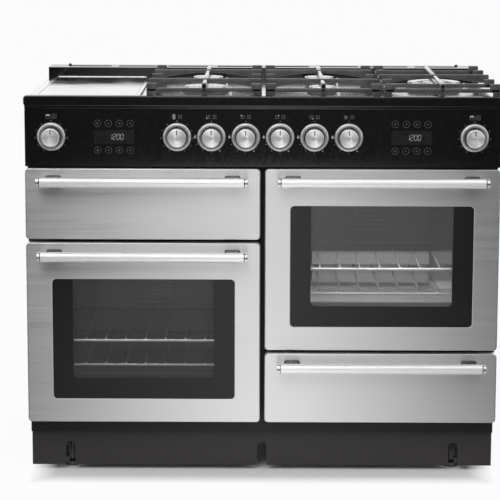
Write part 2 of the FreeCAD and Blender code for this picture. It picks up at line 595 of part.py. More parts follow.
baffles = []
motors = []
seals = []
for side, x in COLUMN.items():
    through = rod(f"fan_hole_{side}", "y", x, deep(f"({OVEN_BACK} - sheet_steel)"), FAN_Z[side],
                  "shaft_radius + pin_play", "3 * sheet_steel")
    liner(f"oven_liner_{side}", x, CAVITY_Z[side], "cavity_width", "cavity_height", "cavity_depth", [through])
    oven_fan(side)

    casing = rod(f"motor_case_{side}", "y", x, deep(f"({OVEN_BACK} + sheet_steel)"), FAN_Z[side],
                 "motor_radius", "motor_length")
    bearing = rod(f"motor_bearing_{side}", "y", x, deep(OVEN_BACK), FAN_Z[side], "shaft_radius + pin_play",
                  "shaft_length + 2 * sheet_steel")
    motors.append(cut(f"motor_{side}", casing, [bearing]))

    corner = f"{x} - baffle_side / 2"
    low = f"{FAN_Z[side]} - baffle_side / 2"
    pan = block(f"baffle_pan_{side}", corner, deep(f"({OVEN_BACK} - baffle_depth)"), low, "baffle_side",
                "baffle_depth", "baffle_side")
    hollow = block(f"baffle_hollow_{side}", f"{corner} + sheet_steel",
                   deep(f"({OVEN_BACK} - baffle_depth + sheet_steel)"), f"{low} + sheet_steel",
                   "baffle_side - 2 * sheet_steel", "baffle_depth", "baffle_side - 2 * sheet_steel")
    intake = [block(f"intake_{side}_{row}", f"{x} - intake_length / 2",
                    deep(f"({OVEN_BACK} - baffle_depth - sheet_steel)"),
                    f"{FAN_Z[side]} + ({row} - (intake_count - 1) / 2) * intake_pitch - intake_height / 2",
                    "intake_length", "3 * sheet_steel", "intake_height")
              for row in range(int(size("intake_count")))]
    outlets = [block(f"outlet_{side}_{edge}", start, deep(f"({OVEN_BACK} - baffle_depth + 2 * sheet_steel)"),
                     f"{FAN_Z[side]} - outlet_height / 2", "3 * sheet_steel",
                     "baffle_depth - 4 * sheet_steel", "outlet_height")
               for edge, start in (("left", f"{corner} - sheet_steel"),
                                   ("right", f"{corner} + baffle_side - 2 * sheet_steel"))]
    baffles.append(cut(f"baffle_{side}", pan, [hollow] + intake + outlets))

    rim_front = deep(f"({DOOR_BACK} + seal_play)")
    rim = block(f"seal_rim_{side}", f"{x} - cavity_width / 2 - seal_width", rim_front,
                f"{CAVITY_Z[side]} - seal_width", "cavity_width + 2 * seal_width", "seal_depth",
                "cavity_height + 2 * seal_width")
    mouth = block(f"seal_mouth_{side}", f"{x} - cavity_width / 2", deep("front_depth"), CAVITY_Z[side],
                  "cavity_width", FRAME_BACK, "cavity_height")
    seals.append(cut(f"seal_{side}", rim, [mouth]))
keep("fan_baffles", group("fan_baffles", baffles))
keep("fan_motors", group("fan_motors", motors))
keep("oven_seals", group("oven_seals", seals))


def ladder(name, wall_x, inward, side):
    """Wire shelf supports beside one oven wall, on four stubs that meet the wall."""
    x = f"{wall_x} {inward} ladder_standoff"
    rung_x = f"{x} {inward} rung_inset"
    shelf_axis = {level: f"({DOOR_Z[side]} + shelf_{level}_lift)" for level in ("low", "high")}
    front = f"({FRAME_BACK} + ladder_front)"
    low = f"({shelf_axis['low']} - ladder_reach)"
    rods = []
    for place_name, depth in (("front", front), ("back", f"({front} + ladder_length)")):
        rods.append(rod(f"{name}_{place_name}", "z", x, deep(depth), low, "rung_rod",
                        f"{shelf_axis['high']} - {low} + ladder_reach"))
        for level, height in (("low", low), ("high", f"({shelf_axis['high']} + ladder_reach)")):
            start = wall_x if inward == "+" else f"{wall_x} - ladder_standoff"
            lift = "+ rung_rod" if level == "low" else "- rung_rod"
            rods.append(rod(f"{name}_{place_name}_{level}_stub", "x", start, deep(depth), f"{height} {lift}",
                            "rung_rod", "ladder_standoff"))
    for level, axis_z in shelf_axis.items():
        rods.append(rod(f"{name}_{level}_rung", "y", rung_x, deep(f"({front} - ladder_overhang)"),
                        f"{axis_z} - 2 * rung_rod - rung_play", "rung_rod",
                        "ladder_length + 2 * ladder_overhang"))
    return join(name, rods)


def shelf(name, side, level):
    """A wire shelf: a round rod frame with wires from front to back let into it."""
    x = COLUMN[side]
    axis_z = f"{DOOR_Z[side]} + shelf_{level}_lift"
    front = f"({FRAME_BACK} + shelf_front_gap)"
    width = "(cavity_width - 2 * shelf_edge + 2 * shelf_rod)"
    half = f"({width} / 2)"
    rods = [rod(f"{name}_{edge}", "y", f"{x} {sign} ({half} - shelf_rod)", deep(front), axis_z, "shelf_rod",
                "shelf_length") for edge, sign in (("left", "-"), ("right", "+"))]
    ends = {"front": f"({front} + shelf_rod)", "back": f"({front} + shelf_length - shelf_rod)"}
    for edge, depth in ends.items():
        rods.append(rod(f"{name}_{edge}", "x", f"{x} - {half}", deep(depth), axis_z, "shelf_rod", width))
    for wire in range(int(size("shelf_wires"))):
        wire_x = f"{x} - {half} + {width} * {wire + 0.5} / shelf_wires"
        rods.append(rod(f"{name}_wire_{wire}", "y", wire_x, deep(f"({front} + shelf_rod)"),
                        f"{axis_z} + shelf_rod", "shelf_wire", "shelf_length - 2 * shelf_rod"))
    return join(name, rods)


ladders = []
for side, x in COLUMN.items():
    ladders.append(ladder(f"ladder_{side}_a", f"{x} - cavity_width / 2", "+", side))
    ladders.append(ladder(f"ladder_{side}_b", f"{x} + cavity_width / 2", "-", side))
    keep(f"oven_shelves_{side}", group(f"oven_shelves_{side}", [
        shelf(f"shelf_{side}_{level}", side, level) for level in ("low", "high")]))
keep("shelf_ladders", group("shelf_ladders", ladders))

liner("grill_liner", COLUMN["left"], f"({UPPER} + grill_lift)", "grill_width", "grill_height", "grill_depth")


def grill_element():
    """A round heating rod that runs to and fro under the grill roof, both ends in the back wall."""
    pitch = size("element_pitch")
    runs = int(size("element_runs"))
    turn = pitch / 2
    wall_y = measure(deep("frame_depth + grill_depth"))
    front_y = wall_y - measure("element_length")
    back_y = wall_y - pitch
    z = measure(f"{UPPER} + grill_lift + grill_height - element_drop")
    x = measure(f"{COLUMN['left']} - element_pitch * (element_runs - 1) / 2")
    point = FreeCAD.Vector
    edges = []
    for run in range(runs):
        first = wall_y if run == 0 else back_y
        last = wall_y if run == runs - 1 else back_y
        near, far = (first, front_y) if run % 2 == 0 else (front_y, last)
        edges.append(Part.LineSegment(point(x, near, z), point(x, far, z)).toShape())
        if run < runs - 1:
            bulge = -turn if run % 2 == 0 else turn
            edges.append(Part.Arc(point(x, far, z), point(x + turn, far + bulge, z),
                                  point(x + pitch, far, z)).toShape())
        x += pitch
    path = Part.Wire(edges)
    start = path.OrderedVertexes[0].Point
    section = Part.Face(Part.Wire(Part.makeCircle(size("element_rod"), start, point(0, 1, 0))))
    piece = doc.addObject("Part::Feature", "grill_element")
    piece.Shape = path.makePipe(section)
    keep("grill_element", piece)


grill_element()


# Control panel.

KNOBS = {"knob_oven_left": "-oven_knob_offset", "knob_warming": "-2.5 * knob_pitch"}
KNOBS.update({f"knob_burner_{turn + 1}": f"{turn - 1.5} * knob_pitch" for turn in range(5)})
KNOBS["knob_oven_right"] = "oven_knob_offset"
CLOCKS = {"left": "-clock_offset", "right": "clock_offset"}

bezels = []
valves = []
panel_cuts = [block("panel_hollow", f"panel_sheet - {SIDE}", deep("panel_sheet"),
                    f"{PANEL_BOTTOM} + panel_sheet", f"2 * {SIDE} - 2 * panel_sheet", FRAME_BACK,
                    "panel_height - 2 * panel_sheet")]
for name, x in KNOBS.items():
    hole_radius = "spindle_radius + spindle_play"
    panel_cuts.append(rod(name + "_hole", "y", x, deep("(-panel_sheet)"), KNOB_Z, hole_radius,
                          "3 * panel_sheet"))
    ring = rod(name + "_bezel_blank", "-y", x, deep("0"), KNOB_Z, "bezel_outer", "bezel_depth",
               tip="bezel_top")
    eye = rod(name + "_bezel_eye", "-y", x, deep("bezel_depth"), KNOB_Z, "bezel_inner", "3 * bezel_depth")
    bezels.append(cut(name + "_bezel", ring, [eye]))
    body = block(name + "_valve_body", f"{x} - valve_side / 2", deep("panel_sheet"),
                 f"{KNOB_Z} - valve_side / 2", "valve_side", "valve_length", "valve_side")
    bore = rod(name + "_valve_bore", "y", x, deep("0"), KNOB_Z, hole_radius, "spindle_length + panel_sheet")
    valves.append(cut(name + "_valve", body, [bore]))

    grip = rod(name + "_grip", "-y", x, deep("(-knob_lift_off)"), KNOB_Z, "knob_radius", "knob_length",
               tip="knob_tip")
    spindle = rod(name + "_spindle", "y", x, deep("(-knob_lift_off)"), KNOB_Z, "spindle_radius",
                  "knob_lift_off + spindle_length")
    marker = block(name + "_marker", f"{x} - marker_width / 2",
                   deep("(-knob_lift_off - knob_length - marker_depth)"),
                   f"{KNOB_Z} + knob_tip - marker_width - marker_length", "marker_width", "2 * marker_depth",
                   "marker_length")
    keep(name, cut(name, join(name + "_turned", [grip, spindle]), [marker]))

modules = []
for side, x in CLOCKS.items():
    panel_cuts.append(block(f"clock_window_{side}", f"{x} - display_width / 2", deep("(-panel_sheet)"),
                            f"{KNOB_Z} - display_height / 2", "display_width", "3 * panel_sheet",
                            "display_height"))
    case = block(f"clock_case_{side}", f"{x} - clock_width / 2", deep("panel_sheet"),
                 f"{KNOB_Z} - clock_height / 2", "clock_width", "clock_depth", "clock_height")
    lens = block(f"clock_lens_{side}", f"{x} - display_width / 2 + display_play", deep("0"),
                 f"{KNOB_Z} - display_height / 2 + display_play", "display_width - 2 * display_play",
                 "panel_sheet", "display_height - 2 * display_play")
    modules.append(join(f"clock_{side}", [case, lens]))
panel = block("panel_blank", f"-{SIDE}", deep("0"), PANEL_BOTTOM, f"2 * {SIDE}", FRAME_BACK, "panel_height")
keep("control_panel", cut("control_panel", panel, panel_cuts))
keep("clock_modules", group("clock_modules", modules))
keep("control_valves", group("control_valves", valves))
keep("knob_bezels", group("knob_bezels", bezels))


# Hob.

def hob_trim():
    """The black front edge of the hob: a bar with rounded ends over a thin lip set back from it."""
    body = doc.addObject("PartDesign::Body", "trim_bar")
    outline = new_sketch(body, "trim_outline", "XZ_Plane")
    rectangle(outline, "0", "0", "overall_width", "trim_height - trim_lip", "trim_corner")
    pad(body, outline, "trim_front + trim_back", reverse=True)
    place(body, f"-{HALF}", deep("(-trim_front)"), f"{PANEL_TOP} + trim_lip")
    lip = block("trim_lip_strip", f"-{SIDE}", deep("(lip_back - trim_front)"), PANEL_TOP, f"2 * {SIDE}",
                "trim_front + trim_back - lip_back", "trim_lip + trim_corner")
    keep("hob_trim", join("hob_trim", [body, lip]))


hob_trim()
HOB_FRONT = "trim_back"
HOB_BACK = "(trim_back + hob_length)"
hob_blank = block("hob_blank", f"-{SIDE}", deep(HOB_FRONT), PANEL_TOP, f"2 * {SIDE}", "hob_length",
                  "trim_height - hob_drop")
hob_under = block("hob_under", f"sheet_steel - {SIDE}", deep(f"({HOB_FRONT} + sheet_steel)"),
                  f"{PANEL_TOP} - sheet_steel", f"2 * {SIDE} - 2 * sheet_steel",
                  "hob_length - 2 * sheet_steel", "trim_height - hob_drop")
keep("hob_top", cut("hob_top", hob_blank, [hob_under]))

riser_depth = f"({BACK} + sheet_steel - {HOB_BACK})"
riser_top = f"({HOB_TOP} + riser_height)"
riser = block("riser_blank", f"-{SIDE}", deep(HOB_BACK), PANEL_TOP, f"2 * {SIDE}", riser_depth,
              f"{riser_top} - {PANEL_TOP}")
riser_hollow = block("riser_hollow", f"sheet_steel - {SIDE}", deep(f"({HOB_BACK} + sheet_steel)"),
                     f"{PANEL_TOP} - sheet_steel", f"2 * {SIDE} - 2 * sheet_steel",
                     f"{riser_depth} - 2 * sheet_steel", f"{riser_top} - {PANEL_TOP}")
vents = [block(f"vent_{slot}", f"({slot} - (vent_count - 1) / 2) * vent_pitch - vent_length / 2",
               deep(f"({HOB_BACK} + ({riser_depth} - vent_width) / 2)"), f"{riser_top} - vent_depth",
               "vent_length", "vent_width", "2 * vent_depth") for slot in range(int(size("vent_count")))]
keep("flue_riser", cut("flue_riser", riser, [riser_hollow] + vents))


def warming_plate():
    """A flat polished plate with a raised rim and rounded corners."""
    body = doc.addObject("PartDesign::Body", "warming_plate")
    outline = new_sketch(body, "plate_outline", "XY_Plane")
    rectangle(outline, "0", "0", "plate_width", "plate_length", "plate_corner")
    pad(body, outline, "plate_thick")
    recess = new_sketch(body, "plate_recess", "XY_Plane", "plate_thick")
    rectangle(recess, "plate_rim", "plate_rim", "plate_width - 2 * plate_rim", "plate_length - 2 * plate_rim",
              "plate_corner - plate_rim")
    pocket(body, recess, "plate_sink")
    place(body, f"plate_inset - {SIDE}", deep(f"({HOB_FRONT} + plate_front)"), HOB_TOP)
    keep("warming_plate", body)


warming_plate()
GRATE_X = [f"(grate_first + {index} * grate_pitch)" for index in range(3)]
BURNERS = {
    "rapid": (GRATE_X[0], "burner_front", "rapid_radius"),
    "semi": (GRATE_X[0], "burner_back", "semi_radius"),
    "simmer": (GRATE_X[1], "burner_front", "simmer_radius"),
    "rear": (GRATE_X[1], "burner_back", "rear_radius"),
    "wok": (GRATE_X[2], "burner_wok", "wok_radius"),
}
CROWN_TOP = "(burner_base_height + burner_crown_height)"


def burner_head(name, x, depth, radius):
    """A round burner: a base flange and a crown with flame ports cut round its rim."""
    body = doc.addObject("PartDesign::Body", name)
    base = new_sketch(body, name + "_base", "XY_Plane")
    circle(base, f"{radius} + crown_step")
    pad(body, base, "burner_base_height")
    crown = new_sketch(body, name + "_crown", "XY_Plane")
    circle(crown, f"{radius} - crown_step")
    pad(body, crown, CROWN_TOP)
    port = new_sketch(body, name + "_port", "XY_Plane", CROWN_TOP)
    rectangle(port, f"{radius} - crown_step - port_length", "0", "2 * port_length", "port_width",
              "port_width / 4")
    first = pocket(body, port, "port_depth")
    ring = body.newObject("PartDesign::PolarPattern", name + "_ports")
    ring.Originals = [first]
    ring.Axis = (origin_plane(body, "Z_Axis"), [""])
    ring.Angle = 360
    ring.setExpression("Occurrences", bind("port_count"))
    body.Tip = ring
    place(body, x, deep(depth), HOB_TOP)
    return body


def cap(name, x, depth, radius, eye=None):
    """A burner cap with a bevelled edge, pierced where an eye radius is given."""
    z = f"{HOB_TOP} + {CROWN_TOP}"
    disc = rod(name + "_disc", "z", x, deep(depth), z, radius, "burner_cap_height",
               tip=f"{radius} - cap_step")
    if eye is None:
        return disc
    hole = rod(name + "_eye", "z", x, deep(depth), f"{z} - burner_cap_height", eye, "3 * burner_cap_height")
    return cut(name, disc, [hole])


heads = []
caps = []
sparks = []
for name, (x, depth, radius) in BURNERS.items():
    heads.append(burner_head(f"burner_{name}", x, depth, radius))
    caps.append(cap(f"cap_{name}", x, depth, radius, "wok_eye" if name == "wok" else None))
    sparks.append(rod(f"spark_{name}", "z", f"{x} + {radius} + crown_step + spark_gap", deep(depth), HOB_TOP,
                      "spark_radius", "spark_height"))
caps.append(cap("cap_wok_core", *BURNERS["wok"][:2], "wok_core"))
keep("burner_heads", group("burner_heads", heads))
keep("burner_caps", group("burner_caps", caps))
keep("spark_plugs", group("spark_plugs", sparks))


def pan_support(name, index, arched):
    """A cast grate: rows of end blocks on two side rails, with a rail at each end and feet below.

    The rows in between carry a cross bar each: an arch over a burner, or a low straight bar elsewhere."""
    half = measure("grate_width / 2")
    bar = size("grate_bar")
    front = measure(deep("trim_back + grate_front"))
    length = measure("grate_length")
    floor = measure(HOB_TOP)
    top = floor + size("grate_height")
    block_bottom = top - size("grate_block_height")
    rail_top = block_bottom + size("grate_rail_height")
    middle = measure(GRATE_X[index])
    point = FreeCAD.Vector

    def solid(x0, x1, y0, y1, z0, z1):
        return Part.makeBox(x1 - x0, y1 - y0, z1 - z0, point(x0, y0, z0))

    inner = half - size("grate_block")
    crown = point(middle, 0, top - size("grate_bar_height"))
    corners = [point(middle - inner, 0, block_bottom), point(middle - half, 0, block_bottom),
               point(middle - half, 0, top), point(middle + half, 0, top),
               point(middle + half, 0, block_bottom), point(middle + inner, 0, block_bottom)]
    edges = [Part.LineSegment(a, b).toShape() for a, b in zip(corners, corners[1:])]
    edges.append(Part.Arc(corners[-1], crown, corners[0]).toShape())
    arch = Part.Face(Part.Wire(edges)).extrude(point(0, bar, 0))
    pieces = [solid(middle - bar / 2, middle + bar / 2, front, front + length,
                    top - size("centre_bar_height"), top)]
    for row in range(int(size("grate_rows"))):
        y0 = front + row * measure("grate_row_pitch")
        if row in arched:
            copy = arch.copy()
            copy.translate(point(0, y0, 0))
            pieces.append(copy)
            continue
        pieces.append(solid(middle - half, middle + half, y0, y0 + bar, block_bottom, rail_top))
        for x0, x1 in ((middle - half, middle - inner), (middle + inner, middle + half)):
            pieces.append(solid(x0, x1, y0, y0 + bar, block_bottom, top))
    foot = size("grate_foot")
    for x0 in (middle - half, middle + half - bar):
        pieces.append(solid(x0, x0 + bar, front, front + length, block_bottom, rail_top))
    for y0 in (front, front + length - bar):
        pieces.append(solid(middle - bar / 2, middle + bar / 2, y0, y0 + bar, floor, top))
    for x0 in (middle - half, middle + half - foot):
        for y0 in (front, front + length - foot):
            pieces.append(solid(x0, x0 + foot, y0, y0 + foot, floor, rail_top))
    piece = doc.addObject("Part::Feature", name)
    piece.Shape = pieces[0].multiFuse(pieces[1:]).removeSplitter()
    keep(name, piece)


PAIR_ARCHES = (1, 3)
WOK_ARCH = (2,)
pan_support("pan_support_left", 0, PAIR_ARCHES)
pan_support("pan_support_centre", 1, PAIR_ARCHES)
pan_support("pan_support_right", 2, WOK_ARCH)


# Every piece is sound before any is written.

doc.recompute()
for item in doc.Objects:
    if "Invalid" in item.State or "Error" in item.State:
        raise RuntimeError(f"{item.Label} did not build")
for name, piece in nodes.items():
    if piece.Shape.isNull() or not piece.Shape.isValid() or not piece.Shape.Solids:
        raise RuntimeError(f"{name} has no sound shape")
os.makedirs("parts", exist_ok=True)
for name, piece in nodes.items():
    piece.Shape.exportStep(os.path.join("parts", name + ".step"))
print(len(nodes), "parts written")
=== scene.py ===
import json
import math
import bmesh
import bpy
import numpy as np
from mathutils import Euler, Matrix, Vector


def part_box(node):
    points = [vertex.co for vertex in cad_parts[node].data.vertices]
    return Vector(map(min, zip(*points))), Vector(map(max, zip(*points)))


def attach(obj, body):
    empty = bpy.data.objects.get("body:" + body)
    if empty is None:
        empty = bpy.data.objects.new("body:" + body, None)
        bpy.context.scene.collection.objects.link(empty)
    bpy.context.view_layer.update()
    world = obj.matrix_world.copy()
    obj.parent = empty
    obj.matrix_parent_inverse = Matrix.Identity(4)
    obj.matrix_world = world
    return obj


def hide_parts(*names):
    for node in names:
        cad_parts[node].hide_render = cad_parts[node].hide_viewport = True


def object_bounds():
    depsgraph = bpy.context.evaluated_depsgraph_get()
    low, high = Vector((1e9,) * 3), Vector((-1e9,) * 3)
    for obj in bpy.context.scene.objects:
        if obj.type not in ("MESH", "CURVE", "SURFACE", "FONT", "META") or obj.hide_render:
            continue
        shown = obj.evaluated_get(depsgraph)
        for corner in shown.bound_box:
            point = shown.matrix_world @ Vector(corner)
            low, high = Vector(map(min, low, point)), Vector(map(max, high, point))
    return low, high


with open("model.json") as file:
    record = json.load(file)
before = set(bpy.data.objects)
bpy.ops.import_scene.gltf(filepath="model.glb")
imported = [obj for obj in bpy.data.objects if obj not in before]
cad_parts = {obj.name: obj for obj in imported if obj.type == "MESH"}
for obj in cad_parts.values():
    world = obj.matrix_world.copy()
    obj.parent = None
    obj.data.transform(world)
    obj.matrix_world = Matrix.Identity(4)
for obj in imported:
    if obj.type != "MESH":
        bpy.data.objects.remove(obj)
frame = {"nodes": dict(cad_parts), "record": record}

cad_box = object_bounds()
nodes = frame["nodes"]
MM = 0.001

# Places taken from the frame, in metres. The front faces -Y.
SIDES = ("left", "right")
FACE_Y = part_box("door_skin_left")[0].y
HOB_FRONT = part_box("hob_top")[0].y
HOB_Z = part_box("hob_top")[1].z
KNOB_BODIES = {node: body for body, members in frame["record"]["behaviour"]["bodies"].items()
               for node in members if node.startswith("knob_") and node != "knob_bezels"}


def middle(node):
    """The centre of a node's box as x, y and z: half the sum of its two corners."""
    low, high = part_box(node)
    return np.add(low, high) / 2


# Surfaces. Each is a pair: points as an array of x, y, z, and quads as an array of four indices.

def grid_quads(rows, columns):
    """Quads between neighbours of a grid of points, numbered row by row, with each row's ends joined."""
    i = np.arange(rows - 1)[:, None]
    j = np.arange(columns)[None, :]
    after = (j + 1) % columns
    corners = (i * columns + j, i * columns + after, (i + 1) * columns + after, (i + 1) * columns + j)
    return np.stack(corners, axis=-1).reshape(-1, 4)


def frame_of(axis):
    """Two directions square to an axis and to each other, and the axis, as the rows of an array."""
    axis = np.asarray(axis, float) / np.linalg.norm(axis)
    helper = np.array([0.0, 0.0, 1.0]) if abs(axis[2]) < 0.9 else np.array([1.0, 0.0, 0.0])
    across = np.cross(helper, axis)
    across /= np.linalg.norm(across)
    return np.stack([across, np.cross(axis, across), axis])


def round_turns(around):
    """Angles evenly spaced over a full turn."""
    return np.linspace(0, 2 * np.pi, around, endpoint=False)


def round_rows(radius, height, centre, axis):
    """Rows of points round an axis: centre + r cos(a) u + r sin(a) v + h axis.

    radius has a row for each height and a column for each turn."""
    u, v, w = frame_of(axis)
    angle = round_turns(radius.shape[1])
    circle = np.cos(angle)[:, None] * u + np.sin(angle)[:, None] * v
    points = np.asarray(centre) + radius[:, :, None] * circle + height[:, None, None] * w
    return points.reshape(-1, 3), grid_quads(*radius.shape)


def turned(profile, centre, axis, around=64):
    """A profile of radius and height turned about an axis, each radius the same all round."""
    radius, height = np.asarray(profile, float).T
    return round_rows(np.repeat(radius[:, None], around, axis=1), height, centre, axis)


def fluted(profile, centre, axis, count, depth, around, edge=0.25):
    """A turned form whose radius dips by a depth for each row where the cosine of count turns passes edge."""
    radius, height = np.asarray(profile, float).T
    wave = np.cos(count * round_turns(around))
    dip = np.clip(1.6 * (wave - edge) / (1 - edge), 0, 1)
    return round_rows(radius[:, None] - np.asarray(depth, float)[:, None] * dip, height, centre, axis)


def ring_points(half, corner, inset, turns=6):
    """Rounded rectangles drawn in from one outline: corner centres plus arcs of what radius is left.

    half is the half width and half height, inset an array with one entry for each ring."""
    inset = np.asarray(inset, float)[:, None, None]
    angle = (np.arange(4)[:, None] * np.pi / 2 + np.linspace(0, np.pi / 2, turns)).ravel()
    signs = np.array([[1, 1], [-1, 1], [-1, -1], [1, -1]], float).repeat(turns, axis=0)
    centres = np.maximum(np.asarray(half) - np.maximum(corner, inset), 0) * signs
    arcs = np.stack([np.cos(angle), np.sin(angle)], axis=-1)
    return centres + np.maximum(corner - inset, 0) * arcs


def stacked(centre, half, corner, levels, axes, turns=6):
    """Rings of a rounded rectangle set one over another: each level is an inset and a height.

    axes holds the directions of width, of height in the outline, and of the stack."""
    inset, height = np.asarray(levels, float).T
    flat = ring_points(half, corner, inset, turns)
    axes = np.asarray(axes, float)
    points = np.asarray(centre) + flat @ axes[:2] + height[:, None, None] * axes[2]
    return points.reshape(-1, 3), grid_quads(len(inset), flat.shape[1])


def quarter(radius, steps=5):
    """Insets and heights of a rounded edge: a quarter circle from the flat side to the top."""
    angle = np.linspace(0, np.pi / 2, steps)
    return np.stack([radius * (1 - np.cos(angle)), radius * (np.sin(angle) - 1)], axis=-1)


XZ_FRONT = ((1, 0, 0), (0, 0, 1), (0, -1, 0))
XY_UP = ((1, 0, 0), (0, 1, 0), (0, 0, 1))
ALONG_X = ((0, 1, 0), (0, 0, 1), (1, 0, 0))
ALONG_Y = ((1, 0, 0), (0, 0, 1), (0, 1, 0))
HOLD_SHARE = 1.3


def soft_block(low, high, radius, axes=XY_UP, corner=None):
    """A closed block with rounded edges: a stack of rounded rectangles that closes at both ends.

    A ring just inside each edge keeps the flat ends flat."""
    low, high, axes = np.asarray(low, float), np.asarray(high, float), np.asarray(axes, float)
    extent = np.abs(axes @ (high - low)) / 2
    edge = quarter(radius)
    top = edge + (0, extent[2])
    bottom = (edge * (1, -1) - (0, extent[2]))[::-1]
    close = extent[:2].min()
    hold = min(HOLD_SHARE * radius, close)
    levels = np.concatenate([[(close, -extent[2]), (hold, -extent[2])], bottom, top,
                             [(hold, extent[2]), (close, extent[2])]])
    return stacked((low + high) / 2, extent[:2], max(corner or 0, radius), levels, axes, turns=4)


def copies(surface, places):
    """The same surface at each of several offsets."""
    points, quads = surface
    places = np.asarray(places, float)
    moved = (places[:, None] + points).reshape(-1, 3)
    step = np.arange(len(places))[:, None, None] * len(points)
    return moved, (quads[None] + step).reshape(-1, 4)


def gathered(surfaces):
    """Several surfaces as one: points in a row, quads renumbered to follow them."""
    counts = np.cumsum([0] + [len(points) for points, quads in surfaces])
    points = np.concatenate([points for points, quads in surfaces])
    quads = np.concatenate([quads + start for (_, quads), start in zip(surfaces, counts)])
    return points, quads


WELD = 2e-6
SLIVER = 1e-6


def piece(name, surfaces, body, look, replaced=(), crease=35):
    """A mesh object from surfaces, welded, with smooth faces and edges kept sharp past a crease angle."""
    points, quads = gathered(surfaces)
    mesh = bpy.data.meshes.new(name)
    mesh.from_pydata(points.tolist(), [], quads.tolist())
    work = bmesh.new()
    work.from_mesh(mesh)
    bmesh.ops.remove_doubles(work, verts=work.verts, dist=WELD)
    bmesh.ops.dissolve_degenerate(work, dist=SLIVER, edges=work.edges)
    bmesh.ops.recalc_face_normals(work, faces=work.faces)
    work.to_mesh(mesh)
    work.free()
    mesh.polygons.foreach_set("use_smooth", np.ones(len(mesh.polygons), bool))
    mesh.set_sharp_from_angle(angle=math.radians(crease))
    thing = bpy.data.objects.new(name, mesh)
    bpy.context.scene.collection.objects.link(thing)
    mesh.materials.append(look)
    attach(thing, body)
    if replaced:
        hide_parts(*replaced)
    return thing


# Finishes. Patterns read Object coordinates, in metres, unless a piece has its own map.

def put(tree, target, socket, value):
    """A number, a colour, a node or a node's output on one input of a node."""
    spot = target.inputs[socket]
    if isinstance(value, bpy.types.NodeSocket):
        tree.links.new(value, spot)
    elif isinstance(value, bpy.types.Node):
        tree.links.new(value.outputs[0], spot)
    else:
        spot.default_value = value


def add(tree, kind, **sockets):
    """A node of a kind, with its inputs set or linked by name."""
    made = tree.nodes.new("ShaderNode" + kind)
    for name, value in sockets.items():
        put(tree, made, name.replace("_", " "), value)
    return made


def calc(tree, operation, first, second=0.0):
    """One step of arithmetic on two values."""
    made = add(tree, "Math")
    made.operation = operation
    put(tree, made, 0, first)
    put(tree, made, 1, second)
    return made


def fresh(name, **sockets):
    """A new material with one Principled shader, whose inputs start from the values given."""
    look = bpy.data.materials.new(name)
    look.use_nodes = True
    tree = look.node_tree
    tree.nodes.clear()
    shader = add(tree, "BsdfPrincipled", **sockets)
    add(tree, "OutputMaterial", Surface=shader)
    return look, tree, shader


def places(tree, scale=(1, 1, 1), kind="Object"):
    """Coordinates of the surface, stretched by a scale along each axis."""
    return add(tree, "Mapping", Vector=add(tree, "TexCoord").outputs[kind], Scale=scale)


def place_parts(tree):
    """The X, Y and Z of a place on the surface, each by itself."""
    return add(tree, "SeparateXYZ", Vector=places(tree)).outputs


def noise(tree, scale, detail=3.0, stretch=(1, 1, 1), kind="Object"):
    """Smooth noise of a scale, over stretched coordinates."""
    return add(tree, "TexNoise", Vector=places(tree, stretch, kind), Scale=scale, Detail=detail)


def between(tree, value, low, high, start=0.3, end=0.7):
    """A value read between start and end, spread from low to high."""
    return add(tree, "MapRange", Value=value, From_Min=start, From_Max=end, To_Min=low, To_Max=high)


MIX_DARK, MIX_LIGHT, MIXED = 6, 7, 2


def shade(tree, value, dark, light):
    """A colour that goes from dark to light with a value of 0 to 1; a plain number is a neutral grey."""
    made = add(tree, "Mix")
    made.data_type = "RGBA"
    put(tree, made, "Factor", value)
    for socket, tone in ((MIX_DARK, dark), (MIX_LIGHT, light)):
        linked = isinstance(tone, bpy.types.NodeSocket)
        put(tree, made, socket, tone if linked else (*np.broadcast_to(tone, 3), 1))
    return made.outputs[MIXED]


def relief(tree, shader, height, depth, strength=0.5):
    """Fine unevenness of the surface, depth in metres."""
    put(tree, shader, "Normal", add(tree, "Bump", Height=height, Strength=strength, Distance=depth))


def grained(name, dark, light, rough, grain, stretch=(1, 1, 1), depth=0.0, detail=3.0, **sockets):
    """A finish whose colour and roughness vary with one stretched noise, with that noise in relief."""
    look, tree, shader = fresh(name, **sockets)
    grey = noise(tree, grain, detail, stretch)
    put(tree, shader, "Base Color", shade(tree, between(tree, grey, 0, 1), dark, light))
    put(tree, shader, "Roughness", between(tree, grey, *rough))
    if depth:
        relief(tree, shader, grey, depth)
    return look


def brushed_fronts():
    """Satin stainless sheet: long fine lines across the width, which draw its reflections out up and down."""
    look, tree, shader = fresh("brushed_stainless", Metallic=1.0, Anisotropic=0.8, Anisotropic_Rotation=0.25)
    lines = noise(tree, 1.0, 4.0, (6, 6, 700))
    both = calc(tree, "ADD", calc(tree, "MULTIPLY", lines, 0.8), noise(tree, 2.5, 2.0))
    tone = between(tree, both, 0, 1, 0.6, 1.2)
    put(tree, shader, "Base Color", shade(tree, tone, (0.76, 0.76, 0.77), (0.84, 0.84, 0.845)))
    put(tree, shader, "Roughness", between(tree, lines, 0.3, 0.4))
    put(tree, shader, "Tangent", add(tree, "CombineXYZ", X=1.0))
    relief(tree, shader, lines, 0.00002, 0.25)
    return look


def spun_metal():
    """Turned aluminium or steel: rings round the axis, from the piece's own map of radius."""
    look, tree, shader = fresh("spun_metal", Metallic=0.85, Anisotropic=0.75, Anisotropic_Rotation=0.25)
    rings = noise(tree, 1.0, 3.0, (3, 260, 1), kind="UV")
    put(tree, shader, "Base Color", shade(tree, between(tree, rings, 0, 1), 0.9, 0.97))
    put(tree, shader, "Roughness", between(tree, rings, 0.34, 0.46))
    tangent = add(tree, "Tangent")
    tangent.direction_type = "UV_MAP"
    put(tree, shader, "Tangent", tangent)
    relief(tree, shader, rings, 0.00002, 0.2)
    return look


